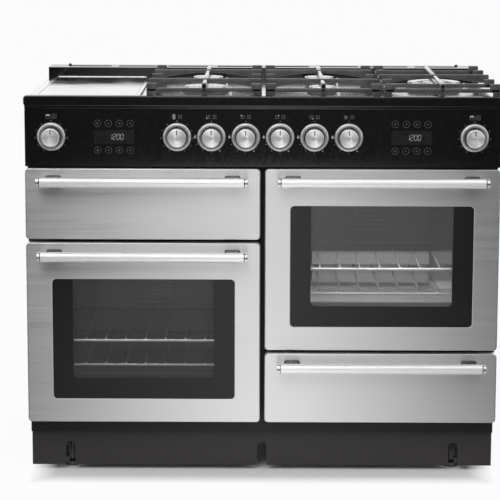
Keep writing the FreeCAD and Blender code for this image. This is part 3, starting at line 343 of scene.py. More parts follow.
def on_right(tree, spot):
    """1 to the right of the middle of the cooker, 0 to the left."""
    return between(tree, spot["X"], 0, 1, 0, MM)


def shelf_wire():
    """Nickel-plated wire: bright along the front rods; further in, darker with painted shade, and darker
    still in the left oven.
    """
    look, tree, shader = fresh("plated_wire", Metallic=0.4, Specular_IOR_Level=0.2)
    spot = place_parts(tree)
    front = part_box("oven_shelves_left")[0].y
    # Painted shade: the wires behind the front rods take a dark tone to sink into the dim oven, darkest in
    # the left oven.
    shaded_inner_wires = between(tree, spot["Y"], 0, 1, front + 8 * MM, front + 14 * MM)
    inner_painted_shade = shade(tree, on_right(tree, spot), (0.045, 0.044, 0.043), (0.165, 0.162, 0.158))
    put(tree, shader, "Base Color", shade(tree, shaded_inner_wires, 0.92, inner_painted_shade))
    put(tree, shader, "Roughness", between(tree, shaded_inner_wires, 0.22, 0.7, 0, 1))
    return look


def cast_iron():
    """Enamelled casting: grainy, dark grey, with a soft sheen where it is worn."""
    look, tree, shader = fresh("cast_iron", Specular_IOR_Level=0.6)
    grain = noise(tree, 700, 6.0)
    patches = between(tree, noise(tree, 35, 3.0), 0, 1)
    put(tree, shader, "Base Color", shade(tree, patches, (0.036, 0.036, 0.037), (0.07, 0.07, 0.072)))
    put(tree, shader, "Roughness", between(tree, grain, 0.26, 0.44))
    relief(tree, shader, grain, 0.00025, 0.5)
    return look


# Painted light in the right oven: the lining is paler below this height and palest on the floor.
PAINTED_LIGHT_TOP = 458 * MM
PAINTED_LIGHT_BLUR = 6 * MM
FLOOR_LIGHT_RISE = (18 * MM, 26 * MM)
FLOOR_LIGHT_FRONT = 8 * MM


def oven_enamel():
    """Grey vitreous enamel with pale specks. Low in the right oven it is paler, and palest on that oven's
    floor: painted light.
    """
    look, tree, shader = fresh("oven_enamel", Coat_Weight=0.2, Coat_Roughness=0.2)
    specks = add(tree, "TexVoronoi", Vector=places(tree), Scale=520.0)
    speckled = shade(tree, between(tree, specks, 1, 0, 0.12, 0.2), (0.05, 0.05, 0.052), 0.12)
    spot = place_parts(tree)
    # Painted light: paler low in the right oven and palest on its floor, where light through the window
    # falls.
    low_part = between(tree, spot["Z"], 1, 0, PAINTED_LIGHT_TOP - PAINTED_LIGHT_BLUR, PAINTED_LIGHT_TOP + PAINTED_LIGHT_BLUR)
    pale = calc(tree, "MULTIPLY", low_part, on_right(tree, spot))
    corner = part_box("oven_liner_right")[0]
    floor_light_height = between(tree, spot["Z"], 1, 0, *(corner.z + rise for rise in FLOOR_LIGHT_RISE))
    inside = between(tree, spot["Y"], 0, 1, corner.y, corner.y + FLOOR_LIGHT_FRONT)
    painted_light_lining = shade(tree, calc(tree, "MULTIPLY", floor_light_height, inside), 0.27, 0.56)
    put(tree, shader, "Base Color", shade(tree, pale, speckled, painted_light_lining))
    put(tree, shader, "Roughness", between(tree, noise(tree, 40), 0.28, 0.42))
    return look


def zinc_sheet():
    """Galvanised sheet: a mosaic of dull crystals, each with its own grey."""
    look, tree, shader = fresh("zinc_coated_sheet", Metallic=0.9)
    spangle = add(tree, "TexVoronoi", Vector=places(tree), Scale=85.0)
    tone = add(tree, "RGBToBW", Color=spangle.outputs["Color"])
    put(tree, shader, "Base Color", shade(tree, tone, (0.42, 0.43, 0.44), (0.56, 0.57, 0.58)))
    put(tree, shader, "Roughness", between(tree, tone, 0.38, 0.55, 0, 1))
    return look


def lit_digits():
    """The segments of the clock, which give a little light of their own."""
    look, tree, shader = fresh("lit_digits", Roughness=0.4, Emission_Strength=0.22)
    glow = between(tree, noise(tree, 300), 0, 1)
    put(tree, shader, "Base Color", shade(tree, glow, (0.1, 0.1, 0.105), (0.16, 0.16, 0.17)))
    put(tree, shader, "Emission Color", shade(tree, glow, (0.6, 0.62, 0.66), (0.9, 0.92, 0.96)))
    return look


def clear_pane():
    """The inner pane of a door: clear, with only its gloss to show it."""
    look, tree, shader = fresh("clear_pane", Alpha=0.1, Specular_IOR_Level=0.5)
    haze = noise(tree, 8)
    put(tree, shader, "Base Color", shade(tree, between(tree, haze, 0, 1), 0.1, 0.16))
    put(tree, shader, "Roughness", between(tree, haze, 0.03, 0.08))
    return look


# A dot print on the right pane, which also paints shade over the field above the band's foot.
DOT_PITCH = 3.2 * MM
DOT_SHARE = 1.5 / 3.2
DOT_COVER = 0.75
SHADE_BAND_FOOT = 544 * MM


def dotted_shade_band(tree, spot, cover):
    """A cover raised by a print of even round dots, over the part of a pane above the band's foot; the darker
    upper field it gives is painted shade.
    """
    flat = add(tree, "CombineXYZ", X=spot["X"], Y=spot["Z"])
    cell = add(tree, "TexVoronoi", Vector=flat, Scale=1 / DOT_PITCH, Randomness=0.0)
    cell.voronoi_dimensions = "2D"
    dots = between(tree, cell, DOT_COVER, 0.0, DOT_SHARE, DOT_SHARE + 0.1)
    above = between(tree, spot["Z"], 0, 1, SHADE_BAND_FOOT - MM, SHADE_BAND_FOOT + MM)
    return calc(tree, "MAXIMUM", cover, calc(tree, "MULTIPLY", dots, above))


def overshoot(tree, value, centre, half):
    """How far a coordinate lies past half a width to either side of a centre."""
    away = calc(tree, "ABSOLUTE", calc(tree, "SUBTRACT", value, centre))
    return calc(tree, "SUBTRACT", away, half)


PANE_OVERLAP = 12 * MM
FIELD_HALF = (165 * MM, 122.8 * MM)
FIELD_RISE = 8 * MM
FIELD_CORNER = 10 * MM
FIELD_BLUR = 0.4 * MM
SMOKE = 0.22


def door_pane(side):
    """The outer pane of a door: an opaque dark border round a smoky clear field with rounded lower corners.

    The edge of the field is where a rounded box's distance passes its corner radius."""
    node = f"door_glass_{side}"
    field_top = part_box(node)[1].z - PANE_OVERLAP + FIELD_RISE
    look, tree, shader = fresh(f"door_pane_{side}", Specular_IOR_Level=0.35)
    spot = place_parts(tree)
    across = overshoot(tree, spot["X"], middle(node)[0], FIELD_HALF[0] - FIELD_CORNER)
    upward = overshoot(tree, spot["Z"], field_top - FIELD_HALF[1], FIELD_HALF[1] - FIELD_CORNER)
    past = add(tree, "CombineXYZ", X=calc(tree, "MAXIMUM", across), Y=calc(tree, "MAXIMUM", upward))
    distance = add(tree, "VectorMath", Vector=past)
    distance.operation = "LENGTH"
    edge = (FIELD_CORNER - FIELD_BLUR, FIELD_CORNER + FIELD_BLUR)
    solid = between(tree, distance.outputs["Value"], 0, 1, *edge)
    cover = between(tree, solid, SMOKE, 1, 0, 1)
    # On the right pane only, the dot print darkens the field above the band's foot: painted shade.
    if side == "right":
        cover = dotted_shade_band(tree, spot, cover)
    put(tree, shader, "Alpha", cover)
    put(tree, shader, "Base Color", shade(tree, solid, (0.07, 0.07, 0.071), (0.011, 0.0105, 0.0115)))
    put(tree, shader, "Roughness", between(tree, noise(tree, 6), 0.04, 0.09))
    return look


LOOKS = {make.__name__: make() for make in (
    brushed_fronts, spun_metal, shelf_wire, cast_iron, oven_enamel, zinc_sheet, lit_digits, clear_pane)}
LOOKS.update({f"door_pane_{side}": door_pane(side) for side in SIDES})
LOOKS.update({
    # Bright plating with a faint haze of wiping marks.
    "polished_chrome": grained("polished_chrome", (0.82, 0.82, 0.83), 0.9, (0.05, 0.12), 60, (1, 4, 4),
                               Metallic=1.0),
    # Pale satin metal of the handle bars: its gloss is spread wide, with a fine grain along the bar.
    "satin_bright": grained("satin_bright", 0.88, 0.95, (0.24, 0.34), 1.0, (6, 500, 500), Metallic=0.6),
    # Satin plating of the rings round the knobs; on the side of a knob, a darker tone of the knob's metal
    # that is painted shade.
    "satin_ring": grained("satin_ring", 0.84, 0.92, (0.32, 0.42), 90, Metallic=0.85),
    "knob_side": grained("knob_side", 0.26, 0.36, (0.2, 0.3), 120, Metallic=1.0),
    # Dark plated metal of the posts behind the handle bars. On the feet, under the cooker, the same dark tone
    # is painted shade.
    "dark_post_and_foot_shade": grained("dark_post_and_foot_shade", (0.09, 0.09, 0.092), (0.15, 0.15, 0.152), (0.22, 0.34), 120,
                         Metallic=0.9),
    # Black gloss enamel with the slight waviness of a fired coat.
    "gloss_enamel": grained("black_gloss_enamel", (0.004, 0.004, 0.0045), (0.007, 0.007, 0.0075), (0.05, 0.1),
                            180, depth=0.000006, Specular_IOR_Level=0.9),
    # Powder coat, with a fine speckled texture: black on the front frame and the base, a warm dark grey on
    # the plinth, and a little darker than that on the side sheets.
    "satin_black": grained("black_powder_coat", (0.006, 0.0058, 0.0058), (0.013, 0.012, 0.012), (0.34, 0.5),
                           900, depth=0.00006, detail=5.0, Specular_IOR_Level=0.35),
    "plinth_coat": grained("plinth_powder_coat", (0.025, 0.023, 0.022), (0.035, 0.032, 0.031), (0.38, 0.54),
                           900, depth=0.00006, detail=5.0, Specular_IOR_Level=0.35),
    "side_coat": grained("side_powder_coat", (0.016, 0.016, 0.017), (0.026, 0.026, 0.027), (0.32, 0.46), 900,
                         depth=0.00005, detail=5.0),
    # Bright stainless hob sheet with a fine lengthwise grain.
    "hob_steel": grained("hob_stainless", 0.74, 0.82, (0.08, 0.15), 1.0, (4, 500, 4), depth=0.00001,
                         Metallic=1.0),
    # Polished warming plate, close to a mirror with faint swirls.
    "plate_steel": grained("polished_plate", 0.8, 0.87, (0.07, 0.16), 14, Metallic=1.0),
    # Dark cast burner crown, matt with tiny pits, and bright stainless caps, lightly frosted.
    "burner_alloy": grained("burner_alloy", 0.06, (0.12, 0.12, 0.118), (0.36, 0.5), 500, depth=0.0001,
                            detail=5.0, Metallic=0.5),
    "cap_steel": grained("cap_steel", 0.78, 0.88, (0.2, 0.32), 250, depth=0.00002, Metallic=1.0),
    # The middle bars of the castings: dark glossy enamel, pale only where it is seen at a low angle.
    "worn_iron": grained("worn_iron", (0.03, 0.03, 0.031), (0.07, 0.07, 0.071), (0.1, 0.2), 160,
                         Specular_IOR_Level=1.0, Coat_Weight=1.0, Coat_Roughness=0.08, Coat_IOR=1.8),
    # Smoked cover of the clock: black, smooth and hardly reflecting.
    "display_glass": grained("display_glass", (0.011, 0.011, 0.0115), (0.016, 0.016, 0.0165), (0.1, 0.18), 60,
                             Specular_IOR_Level=0.25),
    # Screen print on the glass, pale and grey, with a trace of speckle.
    "printed_white": grained("printed_white", 0.22, 0.34, (0.4, 0.55), 900),
    "printed_grey": grained("printed_grey", 0.06, 0.1, (0.4, 0.55), 900),
    "seal_rubber": grained("seal_rubber", 0.012, 0.03, (0.6, 0.8), 400, depth=0.0002),
    "white_ceramic": grained("white_ceramic", (0.7, 0.68, 0.63), (0.84, 0.82, 0.78), (0.2, 0.35), 300),
    "machined_brass": grained("machined_brass", (0.62, 0.43, 0.17), (0.78, 0.58, 0.28), (0.2, 0.34), 1.0,
                              (40, 900, 40), Metallic=1.0),
    "heater_sheath": grained("heater_sheath", (0.05, 0.045, 0.042), (0.12, 0.1, 0.09), (0.45, 0.65), 220,
                             depth=0.00008, Metallic=0.5),
    "black_plastic": grained("black_plastic", (0.012, 0.012, 0.013), (0.024, 0.024, 0.026), (0.2, 0.34), 600,
                             depth=0.00003),
})

# Nodes shown as they are, or stood for by a piece below, each with its finish.
FINISHES = {
    "gloss_enamel": "control_panel flue_riser hob_trim",
    "satin_black": "front_frame base_pan",
    "plinth_coat": "plinth",
    "side_coat": "side_panels",
    # The feet take the dark look as painted shade.
    "dark_post_and_foot_shade": "levelling_feet",
    "zinc_sheet": "back_panel slide_rails door_hinges fan_motors oven_fan_left oven_fan_right drawer_box",
    "oven_enamel": "oven_liner_left oven_liner_right fan_baffles grill_liner grill_tray "
                   "door_inner_frame_left door_inner_frame_right",
    "shelf_wire": "oven_shelves_left oven_shelves_right shelf_ladders",
    "polished_chrome": "door_handle_left door_handle_right grill_handle drawer_handle knob_bezels",
    "spun_metal": " ".join(KNOB_BODIES),
    "brushed_fronts": "door_skin_left door_skin_right grill_front drawer_front",
    "clear_pane": "door_inner_glass_left door_inner_glass_right",
    "door_pane_left": "door_glass_left",
    "door_pane_right": "door_glass_right",
    "hob_steel": "hob_top",
    "plate_steel": "warming_plate",
    "cast_iron": "pan_support_left pan_support_centre pan_support_right",
    "burner_alloy": "burner_heads",
    "cap_steel": "burner_caps",
    "seal_rubber": "oven_seals",
    "white_ceramic": "spark_plugs",
    "machined_brass": "gas_inlet control_valves",
    "heater_sheath": "grill_element",
    "display_glass": "clock_modules",
}
for look, names in FINISHES.items():
    for name in names.split():
        nodes[name].data.materials.clear()
        nodes[name].data.materials.append(LOOKS[look])


# Fronts.

FRONT_DEPTH = 22 * MM
SHEET = 2 * MM
FRONT_CORNER = 9 * MM
EDGE = 2.6 * MM
LIP = 1.3 * MM
HOLD = 0.6 * MM
LUG_PAIR = 202 * MM
LUG_STEP = 7.5 * MM
LUG_HALF = 4 * MM
LUG_REACH = 20 * MM


def outer_bends(edge, depth):
    """The bends from a front's face over its rounded edge and back along its side."""
    return np.concatenate([[(edge + HOLD, 0)], quarter(edge, 6)[::-1], [(0, -depth)]])


def closed_front(name, node, body):
    """A drawer or grill front: one face with a rounded edge all round, closed behind."""
    low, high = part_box(node)
    half = np.array([high.x - low.x, high.z - low.z]) / 2
    close = half.min()
    levels = np.concatenate([[(close, 0)], outer_bends(EDGE, FRONT_DEPTH), [(close, -FRONT_DEPTH)]])
    centre = ((low.x + high.x) / 2, low.y, (low.z + high.z) / 2)
    skin = stacked(centre, half, FRONT_CORNER, levels, XZ_FRONT)
    piece(name, [skin], body, LOOKS["brushed_fronts"], [node])


def bent_rings(half, corner, bends):
    """Rings of one rounded rectangle at a list of insets and heights: flat points, each with its height."""
    inset, height = np.asarray(bends, float).T
    flat = ring_points(half, corner, inset)
    return np.concatenate([flat, np.broadcast_to(height[:, None, None], (*flat.shape[:2], 1))], axis=-1)


def window_front(side):
    """A door skin: rings run from the window's turned lip over the face, the rounded edge and the side wall,
    then back inside at the sheet's thickness to where they began. Lugs for the hinges stand behind it."""
    low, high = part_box(f"door_skin_{side}")
    pane_low, pane_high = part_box(f"door_glass_{side}")
    half = np.array([high.x - low.x, high.z - low.z]) / 2
    window = np.array([pane_high.x - pane_low.x, pane_high.z - pane_low.z]) / 2 - PANE_OVERLAP
    drop = (pane_low.z + pane_high.z - low.z - high.z) / 2
    lip = quarter(LIP, 5) * (-1, 1)
    inner = bent_rings(window, FRONT_CORNER, np.concatenate([[(0, -SHEET)], lip, [(-LIP - HOLD, 0)]]))
    outer = bent_rings(half, FRONT_CORNER, np.concatenate([outer_bends(EDGE, FRONT_DEPTH), [
        (SHEET, -FRONT_DEPTH), (SHEET, -SHEET)]]))
    inner[:, :, 1] += drop
    rings = np.concatenate([inner, outer, inner[:1]])
    centre = np.array([(low.x + high.x) / 2, low.y, (low.z + high.z) / 2])
    points = (centre + rings @ np.array(XZ_FRONT, float)).reshape(-1, 3)
    skin = points, grid_quads(len(rings), rings.shape[1])
    lugs = []
    for offset in (-LUG_PAIR, LUG_PAIR):
        for step in (-LUG_STEP, LUG_STEP):
            x = centre[0] + offset + step
            lugs.append(soft_block((x - LUG_HALF, low.y + SHEET, low.z + SHEET),
                                   (x + LUG_HALF, low.y + LUG_REACH, low.z + LUG_REACH), MM))
    piece(f"door_front_{side}", [skin] + lugs, f"{side}_door", LOOKS["brushed_fronts"],
          [f"door_skin_{side}"])


BAR_RADIUS = 11.7 * MM
BAR_PROUD = 0.8 * MM
CAP_LENGTH = 9 * MM
CAP_FLUTES = 6
CAP_PROFILE = np.array([
    (0, 0), (7.5, 0), (7.5, 1.7), (11.5, 2.1), (11.5, 7.6), (11.1, 8.5), (10.2, 9), (7.5, 9), (6.5, 8.2),
    (0, 8.2)]) * MM
CAP_GROOVES = np.array([0, 0, 0, 4, 4, 4, 3, 0, 0, 0]) * MM
CAP_CORE = np.array([(0, -0.5), (10.2, -0.5), (10.2, 8), (0, 8)]) * MM
POST_INSET = 36 * MM
POST_HALF = (17 * MM, 10 * MM)
POST_CORNER = 4 * MM
POST_FLARE = np.array([(10, 0), (-1.5, 0), (-1.2, 1.5), (0.6, 6), (1.6, 14)]) * MM
POST_WAIST = 1.8 * MM
POST_SHORT = 6 * MM


def bar_handle(name, node, body):
    """A round bar on two flared posts, closed at each end by a grooved cap on a dark core."""
    low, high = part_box(node)
    centre_x = (low.x + high.x) / 2
    half = (high.x - low.x) / 2
    axis_z = (low.z + high.z) / 2
    axis_y = low.y + BAR_RADIUS + BAR_PROUD
    bar_end = half - CAP_LENGTH
    bar = turned([(0, -bar_end), (BAR_RADIUS, -bar_end), (BAR_RADIUS, bar_end), (0, bar_end)],
                 (centre_x, axis_y, axis_z), (1, 0, 0), 48)
    reach = FACE_Y - axis_y - POST_SHORT
    levels = np.concatenate([POST_FLARE, [(POST_WAIST, reach), (POST_HALF[1], reach)]])
    caps, dark = [], []
    for way in (-1, 1):
        end = (centre_x + way * bar_end, axis_y, axis_z)
        foot = (centre_x + way * (half - POST_INSET), FACE_Y, axis_z)
        caps.append(fluted(CAP_PROFILE, end, (way, 0, 0), CAP_FLUTES, CAP_GROOVES, 144, 0.6))
        dark.append(stacked(foot, POST_HALF, POST_CORNER, levels, XZ_FRONT, 5))
        dark.append(turned(CAP_CORE, end, (way, 0, 0), 48))
    piece(name, [bar] + caps, body, LOOKS["satin_bright"], [node])
    piece(f"{name}_posts", dark, body, LOOKS["dark_post_and_foot_shade"])


closed_front("grill_front_panel", "grill_front", "grill_drawer")
closed_front("drawer_front_panel", "drawer_front", "storage_drawer")
for side in SIDES:
    window_front(side)
    bar_handle(f"door_bar_{side}", f"door_handle_{side}", f"{side}_door")
bar_handle("grill_bar", "grill_handle", "grill_drawer")
bar_handle("drawer_bar", "drawer_handle", "storage_drawer")


# Control panel.

KNOB_Z = middle("knob_warming")[2]
KNOB_X = {node: middle(node)[0] for node in KNOB_BODIES}
TAPS = [node for node in KNOB_BODIES if "burner" in node]
OVEN_KNOBS = ("knob_oven_left", "knob_oven_right")
OUTWARD = (0, -1, 0)


def map_round(thing, centre, axis, reach):
    """A map of angle and radius about an axis: u is the share of a turn, v the radius over reach.

    A face that spans the seam has its low angles raised by a full turn."""
    mesh = thing.data
    points = np.empty(len(mesh.vertices) * 3)
    mesh.vertices.foreach_get("co", points)
    corner = np.empty(len(mesh.loops), int)
    mesh.loops.foreach_get("vertex_index", corner)
    starts = np.empty(len(mesh.polygons), int)
    mesh.polygons.foreach_get("loop_start", starts)
    u, v, _ = frame_of(axis)
    away = points.reshape(-1, 3)[corner] - np.asarray(centre)
    across, upward = away @ u, away @ v
    turn = np.arctan2(upward, across) / (2 * np.pi)
    face = np.repeat(np.arange(len(starts)), np.diff(np.append(starts, len(corner))))
    wide = np.maximum.reduceat(turn, starts) - np.minimum.reduceat(turn, starts) > 0.5
    turn = np.where(wide[face] & (turn < 0), turn + 1, turn)
    layer = mesh.uv_layers.new(name="round")
    layer.data.foreach_set("uv", np.stack([turn, np.hypot(across, upward) / reach], axis=-1).ravel())


KNOB_SIDE = np.array([
    (0, -30), (4, -30), (4, 1.5), (20.5, 1.5), (22.2, 2.2), (22.5, 3.2), (22.5, 6), (21.9, 7), (21.5, 9),
    (21.4, 15), (21.5, 23), (21, 23.4), (0, 23.4)]) * MM
KNOB_FACE = np.array([
    (0, 22.6), (21, 22.6), (21.6, 23.2), (21.5, 24), (21.0, 24.8), (20.2, 25.3), (19.2, 25.5), (18.4, 25.3),
    (17.6, 25.1), (9, 25.1), (0, 25.1)]) * MM
MAP_REACH = 25 * MM
MARK_HALF = 1.1 * MM
MARK_RISE = (7 * MM, 18 * MM)
MARK_DEPTH = (-0.25 * MM, 0.3 * MM)
MARK_EDGE, MARK_CORNER = 0.2 * MM, 0.8 * MM


def knob(node):
    """A control knob on its spindle: a waisted side, dark with painted shade, on a foot ring, under a spun
    face with a rolled rim, with a slim mark let into the face."""
    x = KNOB_X[node]
    centre = (x, FACE_Y, KNOB_Z)
    body = KNOB_BODIES[node]
    # The side's darker tone is painted shade.
    piece(f"{node}_side", [turned(KNOB_SIDE, centre, OUTWARD, 72)], body,
          LOOKS["knob_side"], crease=40)
    thing = piece(f"{node}_turned", [turned(KNOB_FACE, centre, OUTWARD, 72)], body,
                  LOOKS["spun_metal"], [node], crease=40)
    map_round(thing, centre, OUTWARD, MAP_REACH)
    face = FACE_Y - KNOB_FACE[-1, 1]
    mark = soft_block((x - MARK_HALF, face + MARK_DEPTH[0], KNOB_Z + MARK_RISE[0]),
                      (x + MARK_HALF, face + MARK_DEPTH[1], KNOB_Z + MARK_RISE[1]),
                      MARK_EDGE, XZ_FRONT, MARK_CORNER)
    piece(f"{node}_mark", [mark], body, LOOKS["black_plastic"])


BEZEL_PROFILE = np.array([
    (23.4, 0), (33, 0), (33, 1.4), (32.7, 2.8), (32.1, 4.2), (31.3, 5.4), (30.4, 6.1), (29.4, 6.4),
    (28.2, 6.1), (26.8, 5.2), (25.4, 4.0), (24.2, 2.8), (23.4, 1.8), (23.4, 0)]) * MM


def bezels():
    """A rolled ring round each knob: a slanted outer side, a crown, and a dish in to the knob's foot."""
    ring = turned(BEZEL_PROFILE, (0, FACE_Y, KNOB_Z), OUTWARD, 72)
    rings = copies(ring, [(x, 0, 0) for x in KNOB_X.values()])
    piece("knob_rings", [rings], "cooker", LOOKS["satin_ring"], ["knob_bezels"], crease=60)


# Print on the panel. Each mark is a thin plate about the origin of x and z, then copied to its places.

PRINT = 0.12 * MM
TICK_RADIUS = 37 * MM
TICK_START, TICK_STEP, TICK_COUNT = 37.5, 28.4, 5
TOP = 90
TAP_TICKS = (TOP, 206.6, 237.7, 270)
FULL_FLAME = 37.5 * MM
LOW_FLAME = math.radians(-58.6)
SIGN_RISE = 47 * MM
SIGN_STEP = 7.2 * MM
DOT_STEP = 3.4 * MM
SIGN_SIDE = 11 * MM
SIGN_LINE = 0.9 * MM


def flat_disc(radius, inner=0.0, around=20):
    """A thin disc or ring that stands a hair off the panel, closed all round."""
    rows = [(inner, 0), (radius, 0), (radius, PRINT), (inner, PRINT)]
    if inner:
        rows.append((inner, 0))
    return turned(rows, (0, FACE_Y, 0), OUTWARD, around)


def flat_bar(width, height, lean=0.0):
    """A thin upright bar, leaned over by a share of its height."""
    close = min(width, height) / 2
    levels = [(close, 0), (0, 0), (0, PRINT), (close, PRINT)]
    points, quads = stacked((0, FACE_Y, 0), (width / 2, height / 2), 0.6 * close, levels, XZ_FRONT, 3)
    points[:, 0] += lean * points[:, 2]
    return points, quads


def flame_sign(radius):
    """A flame: a disc whose upper half is drawn out to a point by height."""
    points, quads = flat_disc(radius, around=24)
    lift = np.clip(points[:, 2], 0, None)
    points[:, 0] *= 1 - 0.75 * lift / radius
    points[:, 2] += 0.9 * lift
    return points, quads


def tick_places(node):
    """Dots round a knob: ten and a top mark for an oven or the plate, four for a gas tap."""
    swing = TICK_START + TICK_STEP * np.arange(TICK_COUNT)
    degrees = np.array(TAP_TICKS) if node in TAPS else TOP + np.concatenate([[0], swing, -swing])
    angle = np.radians(degrees)
    ring = np.stack([np.cos(angle), np.zeros(len(angle)), np.sin(angle)], axis=-1) * TICK_RADIUS
    return ring + (KNOB_X[node], 0, KNOB_Z)


def sign_spots(names, across=0.0, rise=0.0):
    """Places over a list of knobs, moved across and up from the middle of their signs."""
    return [(KNOB_X[node] + across, 0, KNOB_Z + SIGN_RISE + rise) for node in names]


def dot_squares():
    """Two squares of small dots side by side, three by three each, about the middle of a sign."""
    step = DOT_STEP * np.arange(-1, 2)
    x, z = (side.ravel() for side in np.meshgrid(step, step))
    square = np.stack([x, np.zeros(9), z], axis=-1)
    apart = np.array([SIGN_STEP, 0, 0])
    return copies(flat_disc(1.15 * MM, around=10), np.concatenate([square - apart, square + apart]))


def oven_signs():
    """Two square outlines side by side, one with a ring in it, over each oven knob."""
    level, upright = flat_bar(SIGN_SIDE, SIGN_LINE), flat_bar(SIGN_LINE, SIGN_SIDE)
    parts = []
    for centre in (-SIGN_STEP, SIGN_STEP):
        for way in (-5 * MM, 5 * MM):
            parts.append(copies(level, sign_spots(OVEN_KNOBS, centre, way)))
            parts.append(copies(upright, sign_spots(OVEN_KNOBS, centre + way)))
    parts.append(copies(flat_disc(2.6 * MM, 1.7 * MM), sign_spots(OVEN_KNOBS, SIGN_STEP)))
    return parts


def panel_print():
    """Marks on the panel: dots round the knobs, a sign over each, and flames beside the gas taps."""
    ticks = np.concatenate([tick_places(node) for node in KNOB_BODIES])
    full = [(KNOB_X[node] - FULL_FLAME, 0, KNOB_Z) for node in TAPS]
    low = [(KNOB_X[node] + TICK_RADIUS * math.cos(LOW_FLAME), 0, KNOB_Z + TICK_RADIUS * math.sin(LOW_FLAME))
           for node in TAPS]
    corners = np.array([(-1, -1), (-1, 1), (1, 1), (1, -1), (0, 0)]) * DOT_STEP
    chosen = [(KNOB_X[node] - SIGN_STEP + x, -PRINT, KNOB_Z + SIGN_RISE + z)
              for node, (x, z) in zip(TAPS, corners)]
    marks = [
        copies(flat_disc(0.85 * MM, around=12), ticks),
        copies(flame_sign(2.9 * MM), full),
        copies(flame_sign(1.7 * MM), low),
        copies(flat_disc(1.6 * MM, around=12), chosen),
        copies(flat_bar(5.5 * MM, 12 * MM), sign_spots(["knob_warming"], -SIGN_STEP)),
        copies(flat_bar(SIGN_SIDE, 5 * MM), sign_spots(OVEN_KNOBS, -SIGN_STEP, 3 * MM)),
    ]
    piece("panel_print", marks, "cooker", LOOKS["printed_white"])
    faint = [copies(dot_squares(), sign_spots(TAPS + ["knob_warming"]))] + oven_signs()
    piece("panel_signs", faint, "cooker", LOOKS["printed_grey"])


CLOCK_EDGE = 60 * MM
CLOCK_X = (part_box("clock_modules")[0].x + CLOCK_EDGE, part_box("clock_modules")[1].x - CLOCK_EDGE)
SEGMENTS = {"0": "abcdef", "1": "bc", "2": "abged"}
TIME = "1200"
DIGIT_HEIGHT, DIGIT_WIDTH = 13 * MM, 6 * MM
DIGIT_STROKE = 1.2 * MM
DIGIT_LEAN = 0.1
DIGIT_PITCH = 8.6 * MM
DIGIT_SHIFT = 5 * MM
TOUCH_RISE = 31 * MM
TOUCH_STEPS = np.array([-38, -13, 12, 37]) * MM


def digit(character):
    """One figure of seven bars, each an upright or level stroke of the same width."""
    half, wide = DIGIT_HEIGHT / 2, DIGIT_WIDTH / 2
    upright = flat_bar(DIGIT_STROKE, half - 1.2 * DIGIT_STROKE, DIGIT_LEAN)
    level = flat_bar(DIGIT_WIDTH - 1.5 * DIGIT_STROKE, DIGIT_STROKE, DIGIT_LEAN)
    spots = {"a": (level, 0, half), "g": (level, 0, 0), "d": (level, 0, -half),
             "f": (upright, -wide, half / 2), "b": (upright, wide, half / 2),
             "e": (upright, -wide, -half / 2), "c": (upright, wide, -half / 2)}
    strokes = [spots[key] for key in SEGMENTS[character]]
    return [copies(bar, [(x + DIGIT_LEAN * z, 0, z)]) for bar, x, z in strokes]


def clocks():
    """The time in lit figures on each display, with rows of ringed touch marks over and under it."""
    figures = []
    for x in CLOCK_X:
        for index, character in enumerate(TIME):
            spot = (x + DIGIT_SHIFT + (index - 1.5) * DIGIT_PITCH, 0, KNOB_Z)
            figures += [copies(bar, [spot]) for bar in digit(character)]
    piece("clock_figures", figures, "cooker", LOOKS["lit_digits"])
    spots = np.array([(x + step, 0, KNOB_Z + rise) for x in CLOCK_X
                      for rise in (TOUCH_RISE, -TOUCH_RISE) for step in TOUCH_STEPS])
    marks = [
        copies(flat_disc(8 * MM, 7.3 * MM, 36), spots),
        copies(flat_bar(5 * MM, SIGN_LINE), spots),
        copies(flat_bar(SIGN_LINE, 5 * MM), spots[1::2]),
        copies(flat_disc(2.6 * MM, 1.9 * MM), spots[::2]),
    ]
    piece("touch_marks", marks, "cooker", LOOKS["printed_grey"])


for node in KNOB_BODIES:
    knob(node)
bezels()
panel_print()
clocks()


# Hob.

TRIM_LIP = 6 * MM
TRIM_CORNER = 7 * MM
LIP_BACK = 2 * MM
LIP_EDGE = 2.4 * MM


def front_trim():
    """The black bar along the hob's front: rounded ends, a rolled front edge, and a lip set back below."""
    low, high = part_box("hob_trim")
    lip_top = low.z + TRIM_LIP
    half = ((high.x - low.x) / 2, (high.z - lip_top) / 2)
    depth = high.y - low.y
    levels = np.concatenate([[(half[1], 0)], outer_bends(EDGE, depth), [(half[1], -depth)]])
    bar = stacked((0, low.y, (lip_top + high.z) / 2), half, TRIM_CORNER, levels, XZ_FRONT)
    lip = soft_block((low.x + LIP_BACK, low.y + LIP_BACK, low.z),
                     (high.x - LIP_BACK, high.y, lip_top + LIP_BACK), LIP_EDGE)
    piece("front_trim_bar", [bar, lip], "cooker", LOOKS["gloss_enamel"], ["hob_trim"])


PLATE_RIM = 9 * MM
PLATE_SINK = 1.5 * MM
PLATE_CORNER = 22 * MM


def warming_top():
    """The warming plate: rounded corners, a rolled rim and a flat field a little below it."""
    low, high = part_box("warming_plate")
    half = ((high.x - low.x) / 2, (high.y - low.y) / 2)
    thick = high.z - low.z
    close = min(half)
    bend = quarter(PLATE_SINK)
    down = bend[::-1] * (-1, 1) + (PLATE_RIM + PLATE_SINK, 0)
    levels = np.concatenate([[(close, -thick), (0, -thick)], bend, down, [(close, -PLATE_SINK)]])
    centre = ((low.x + high.x) / 2, (low.y + high.y) / 2, high.z)
    plate = stacked(centre, half, PLATE_CORNER, levels, XY_UP, 10)
    piece("warming_top", [plate], "cooker", LOOKS["plate_steel"], ["warming_plate"])


